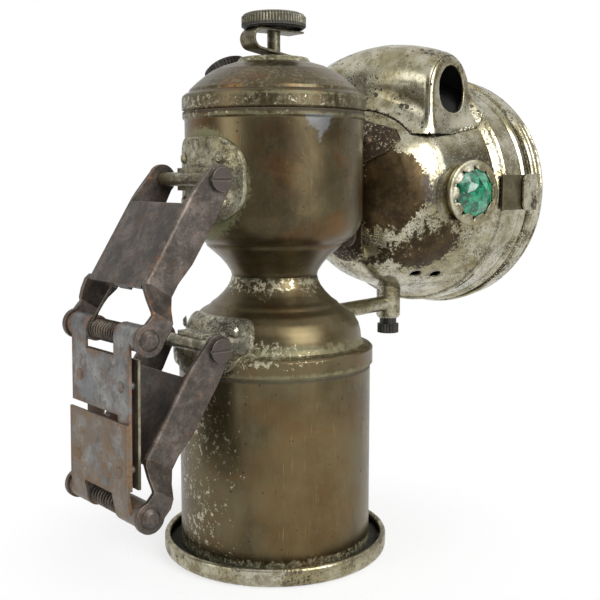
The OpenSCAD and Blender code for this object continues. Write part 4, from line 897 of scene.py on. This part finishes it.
def wrapped(value):
    """Points, in cells, and faces of a closed surface where a field on a grid is nought."""
    total, count = crossings(value)
    cells = count.shape
    used = count > 0
    number = np.full(cells, -1)
    number[used] = np.arange(used.sum())
    points = np.argwhere(used) + total[used] / count[used][:, None]
    inside = value < 0
    faces = []
    for axis in range(3):
        ahead, here = [slice(None)] * 3, [slice(None)] * 3
        ahead[axis], here[axis] = slice(1, None), slice(None, -1)
        turn = inside[tuple(here)].astype(int) - inside[tuple(ahead)].astype(int)
        b, c = [n for n in range(3) if n != axis]
        spots = np.argwhere(turn != 0)
        within = ((spots[:, b] > 0) & (spots[:, c] > 0)
                  & (spots[:, b] < cells[b]) & (spots[:, c] < cells[c]))
        spots = spots[within]
        sign = turn[tuple(spots.T)] * (-1 if axis == 1 else 1)
        ring = []
        for db, dc in ((1, 1), (0, 1), (0, 0), (1, 0)):
            at = spots.copy()
            at[:, b] -= db
            at[:, c] -= dc
            ring.append(number[tuple(at.T)])
        quads = np.stack(ring, 1)
        faces.append(np.where((sign > 0)[:, None], quads, quads[:, ::-1]))
    return points, np.vstack(faces)


def drawn_on(field, points, rounds=3, probe=0.02, least_slope=0.3, furthest=0.2):
    """Moves points onto the surface along the field's slope."""
    for _ in range(rounds):
        value = field(*points.T)
        slope = np.stack([(field(*(points + d).T) - field(*(points - d).T)) / (2 * probe)
                          for d in np.eye(3) * probe], 1)
        move = -slope * (value / np.maximum((slope ** 2).sum(1), least_slope))[:, None]
        far = np.maximum(np.linalg.norm(move, axis=1, keepdims=True) / furthest, 1)
        points = points + move / far
    return points


def make_hood(low=(42.6, -31.0, 19.0), high=(80.4, 31.0, 51.4), step=0.42):
    """The hood, wrapped on a grid from low to high and drawn onto its true surface."""
    axes = [np.arange(a, b + step, step) for a, b in zip(low, high)]
    grid = np.meshgrid(*axes, indexing="ij")
    flat = outline_gap(grid[0][:, :, 0], grid[1][:, :, 0], SKIRT)[:, :, None]
    points, faces = wrapped(hood_gap(*grid, skirt=flat + 0 * grid[2]))
    points = drawn_on(hood_gap, points * step + np.array([axis[0] for axis in axes]))
    piece("hood", head_to_row(points), faces, "hood_plate", "lamp_body")


# Springs: the wire's middle, in the part's own values, from its pin's middle

ARM_LEAN = math.radians(32.5)
UPPER_PIN = (-56.8053, 0, 74.3799)
LOWER_PIN = (-57.6053, 0, 27.3799)
COIL_R = 2.62
COIL_HALF = 6.98
COIL_TURNS = 10
COIL_STEPS = 28
BEND_STEPS = 7
WIRE_R = 0.42
WIRE_SIDES = 10
LEG_END = np.array([4.453, 15.067])
LEG_SIDE = 3.0
LEG_TURN = math.acos(COIL_R / np.hypot(*LEG_END))
LEG_A = math.atan2(LEG_END[1], LEG_END[0])


def spring_line(a0, a1, start):
    """A wire from the back plate, round its coil and out to the arm."""
    turns = abs(a1 - a0) / (2 * math.pi)
    k = np.linspace(0, 1, int(turns * COIL_STEPS))
    a = a0 + (a1 - a0) * k
    coil = np.column_stack([COIL_R * np.cos(a), COIL_HALF * (2 * k - 1), COIL_R * np.sin(a)])
    way = np.array([math.sin(ARM_LEAN), math.cos(ARM_LEAN)])
    leg = [[LEG_END[0] - d * way[0], LEG_SIDE, LEG_END[1] - d * way[1]] for d in (2.6, 0.9, 0.0)]
    first = [[x, -COIL_HALF, z] for x, z in start] + [coil[0], coil[3]]
    last = [coil[-4], coil[-1]] + leg
    return np.vstack([smooth_line(first, BEND_STEPS)[:-BEND_STEPS - 1], coil,
                      smooth_line(last, BEND_STEPS)[BEND_STEPS + 1:]])


def tube(line, radius, sides):
    """A round wire along a line, with its ends closed."""
    way = np.gradient(line, axis=0)
    way /= np.linalg.norm(way, axis=1, keepdims=True)
    side = np.cross(way[0], [1.0, 0.0, 0.0])
    turn = np.arange(sides) * 2 * math.pi / sides
    rings = []
    for point, ahead in zip(line, way):
        side = side - ahead * side.dot(ahead)
        side /= np.linalg.norm(side)
        up = np.cross(ahead, side)
        rings.append(point + radius * (np.outer(np.cos(turn), side) + np.outer(np.sin(turn), up)))
    faces = []
    for ring in range(0, (len(line) - 1) * sides, sides):
        for k in range(sides):
            after = (k + 1) % sides
            faces.append((ring + k, ring + after, ring + sides + after, ring + sides + k))
    last = (len(line) - 1) * sides
    faces += [tuple(range(sides))[::-1], tuple(range(last, last + sides))]
    return np.vstack(rings), faces


def make_springs():
    """Both springs, wound opposite ways, ride on the back plate with their pins."""
    wound = 2 * math.pi * COIL_TURNS
    wires = {
        "upper_spring": (UPPER_PIN, spring_line(
            math.pi, LEG_A + LEG_TURN - wound, [(-2.32, -9), (-2.32, -8.1), (-2.32, -3)])),
        "lower_spring": (LOWER_PIN, spring_line(
            math.radians(170), LEG_A - LEG_TURN + wound, [(-0.43, 10), (-0.43, 9.1), (-0.63, 6)])),
    }
    for name, (pin, line) in wires.items():
        points, faces = tube(line, WIRE_R, WIRE_SIDES)
        piece(name, points + pin, faces, "spring_steel", "bracket_back_plate")


# Side lights: a cut glass held by the curled petals of its setting

def light_to_row(points, side):
    """From the side light's own place, its face looking along +Z, to the lamp's frame."""
    turn = (Matrix.Translation((LIGHT_OUT, side * LIGHT_ACROSS, 0))
            @ Matrix.Rotation(math.radians(-side * 90), 4, "X")
            @ Matrix.Rotation(-LIGHT_LEAN, 4, "Y"))
    return head_to_row([turn @ Vector(point) for point in points])


def make_glass(name, side, finish):
    """Brilliant cut: girdle of sixteen, eight kites, eight stars and a flat table."""
    def ring(r, z, count, start=0.0):
        turns = [2 * math.pi * (k + start) / count for k in range(count)]
        return [(r * math.cos(a), r * math.sin(a), z) for a in turns]

    girdle = JEWEL_R - 0.06
    points = (ring(girdle, 0.15, 16) + ring(5.1, 1.95, 8) + ring(2.8, 2.95, 8, 0.5)
              + ring(girdle, -0.9, 16))
    kites, table, back = 16, 24, 32
    faces = [tuple(range(table, back)), tuple(range(back + 15, back - 1, -1))]
    for k in range(8):
        kite, after, top = kites + k, kites + (k + 1) % 8, table + k
        g0, g1, g2 = 2 * k, 2 * k + 1, (2 * k + 2) % 16
        faces += [(kite, top, table + (k - 1) % 8), (kite, g1, after, top), (kite, g0, g1),
                  (after, g1, g2)]
    faces += [(k, back + k, back + (k + 1) % 16, (k + 1) % 16) for k in range(16)]
    piece(name, light_to_row(points, side), faces, finish, "lamp_body", smooth=False)


def setting_profile(slit):
    """Radii and heights round the setting's sheet; slit is 0 on a petal and 1 in a slit."""
    return [
        (DISH_R - 1.0, -3.6), (DISH_R - 0.1, -0.9), (DISH_R - 0.05, -0.35),
        (DISH_R - 0.35, -0.05), (DISH_R - 0.8, 0.05), (JEWEL_R + 1.5, -0.02),
        (JEWEL_R + 1.0, 0.1 - 0.3 * slit),
        (JEWEL_R + 0.25 + 0.7 * slit, 0.5 - 1.1 * slit),
        (JEWEL_R - 0.4 + 1.3 * slit, 0.85 - 1.8 * slit),
        (JEWEL_R - 0.5 + 1.38 * slit, 0.62 - 1.7 * slit),
        (JEWEL_R + 0.08 + 0.78 * slit, 0.3 - 1.5 * slit),
        (JEWEL_R + 0.35, -1.5), (JEWEL_R + 0.35, -3.6)]


def make_setting(name, side, count=320, petals=10):
    """A flat ring whose inner edge is slit into petals and curled over the glass."""
    points, faces = [], []
    for k in range(count):
        a = 2 * math.pi * k / count
        petal = min(1.35 * abs(math.cos(petals * a / 2)), 1) ** 0.8
        profile = setting_profile(1 - petal)
        width = len(profile)
        here, after = k * width, (k + 1) % count * width
        points += [(r * math.cos(a), r * math.sin(a), z) for r, z in profile]
        faces += [(here + j, after + j, after + (j + 1) % width, here + (j + 1) % width)
                  for j in range(width)]
    piece(name, light_to_row(points, side), faces, "light_plate", "lamp_body")


make_hood()
make_springs()
make_glass("green_jewel", -1, "green_glass")
make_glass("red_jewel", 1, "red_glass")
make_setting("green_setting", -1)
make_setting("red_setting", 1)


# Camera, floor and light, in metres

CAMERA_TURN = math.radians(40)
CAMERA_TILT = math.radians(7.39)
CAMERA_RIGHT = 0.00782
CAMERA_BACK = 0.2954
CAMERA_UP = 0.1165
LENS = 57.97
FLOOR_HALF = 4.0
FLOOR_DROP = 0.0002
ROOM_LIGHT = 0.46
AIM = Vector((0.02, 0.0, 0.09))
WHITE = (1, 1, 1, 1)


def camera():
    """The photograph's camera, worked out from the lamp's ellipses and uprights."""
    right = Vector((math.cos(CAMERA_TURN), -math.sin(CAMERA_TURN), 0))
    level = Vector((math.sin(CAMERA_TURN), math.cos(CAMERA_TURN), 0))
    top = Vector((0, 0, 1))
    ahead = level * math.cos(CAMERA_TILT) - top * math.sin(CAMERA_TILT)
    up = level * math.sin(CAMERA_TILT) + top * math.cos(CAMERA_TILT)
    place = right * CAMERA_RIGHT - level * CAMERA_BACK + top * CAMERA_UP
    turn = Matrix((right, up, -ahead)).transposed().to_4x4()
    lens = bpy.data.cameras.new("camera")
    lens.sensor_width = 36
    lens.lens = LENS
    lens.clip_start = 0.01
    stand = bpy.data.objects.new("camera", lens)
    stand.matrix_world = Matrix.Translation(place) @ turn
    bpy.context.scene.collection.objects.link(stand)
    bpy.context.scene.camera = stand


def floor():
    """Matt white that fades into the white world, so the dropped base shows below it."""
    f = Finish("pale_floor")
    eye, gloss, through, shadow = f.rays("Camera", "Glossy", "Transmission", "Shadow")
    away = f.node("ShaderNodeVectorMath", {"operation": "LENGTH"}, {0: f.place}, "Value")
    fade = away.over(66, 32) * 0.3 + 0.7
    matt = f.node("ShaderNodeBsdfDiffuse", {}, {"Color": (0.9, 0.9, 0.9, 1)}, "BSDF")
    glow = f.node("ShaderNodeEmission", {}, {"Color": WHITE, "Strength": 1.0}, "Emission")
    clear = f.node("ShaderNodeBsdfTransparent", {}, {}, "BSDF")
    paper = f.node("ShaderNodeMixShader", {},
                   {0: gloss.most(through) * fade, 1: matt, 2: glow}, "Shader")
    both = f.node("ShaderNodeMixShader", {},
                  {0: (eye * fade).most(shadow), 1: paper, 2: clear}, "Shader")
    f.ends_in("ShaderNodeOutputMaterial", both)
    half = FLOOR_HALF
    mesh = bpy.data.meshes.new("floor")
    mesh.from_pydata([(-half, -half, 0), (half, -half, 0), (half, half, 0), (-half, half, 0)],
                     [], [(0, 1, 2, 3)])
    mesh.materials.append(f.material)
    ground = bpy.data.objects.new("floor", mesh)
    ground.location.z = -FLOOR_DROP
    bpy.context.scene.collection.objects.link(ground)


def world():
    """White for the eye; as light, a white backdrop and ceiling in a dimmer room."""
    sky = bpy.data.worlds.new("studio")
    sky.use_nodes = True
    bpy.context.scene.world = sky
    f = Network(sky.node_tree)
    eye, gloss, through = f.rays("Camera", "Glossy", "Transmission")
    wx, wy, wz = f.parts(f.node("ShaderNodeTexCoord", {}, {}, "Generated"))
    behind = (wx * VIEW_SIN + wy * VIEW_COS).over(0.12, 0.3)
    above = wz.over(0.62, 0.2)
    studio = (behind * 0.8 + above * 0.8 + 0.09).least(1.0)
    light = gloss * studio + (1 - gloss) * ROOM_LIGHT
    seen = eye.most(through)
    glow = f.node("ShaderNodeBackground", {},
                  {"Color": WHITE, "Strength": seen + (1 - seen) * light}, "Background")
    f.ends_in("ShaderNodeOutputWorld", glow)


def soft_box(name, place, size, power):
    """A rectangular light turned towards the lamp's middle."""
    data = bpy.data.lights.new(name, "AREA")
    data.shape = "RECTANGLE"
    data.size, data.size_y = size
    data.energy = power
    lamp = bpy.data.objects.new(name, data)
    lamp.location = place
    lamp.rotation_euler = (AIM - Vector(place)).to_track_quat("-Z", "Y").to_euler()
    bpy.context.scene.collection.objects.link(lamp)


camera()
floor()
world()
soft_box("key", (0.05, -1.06, 0.66), (0.7, 1.0), 17.0)
soft_box("fill", (-1.05, 0.1, 0.5), (0.5, 1.0), 4.0)
bpy.context.scene.view_settings.view_transform = "Standard"
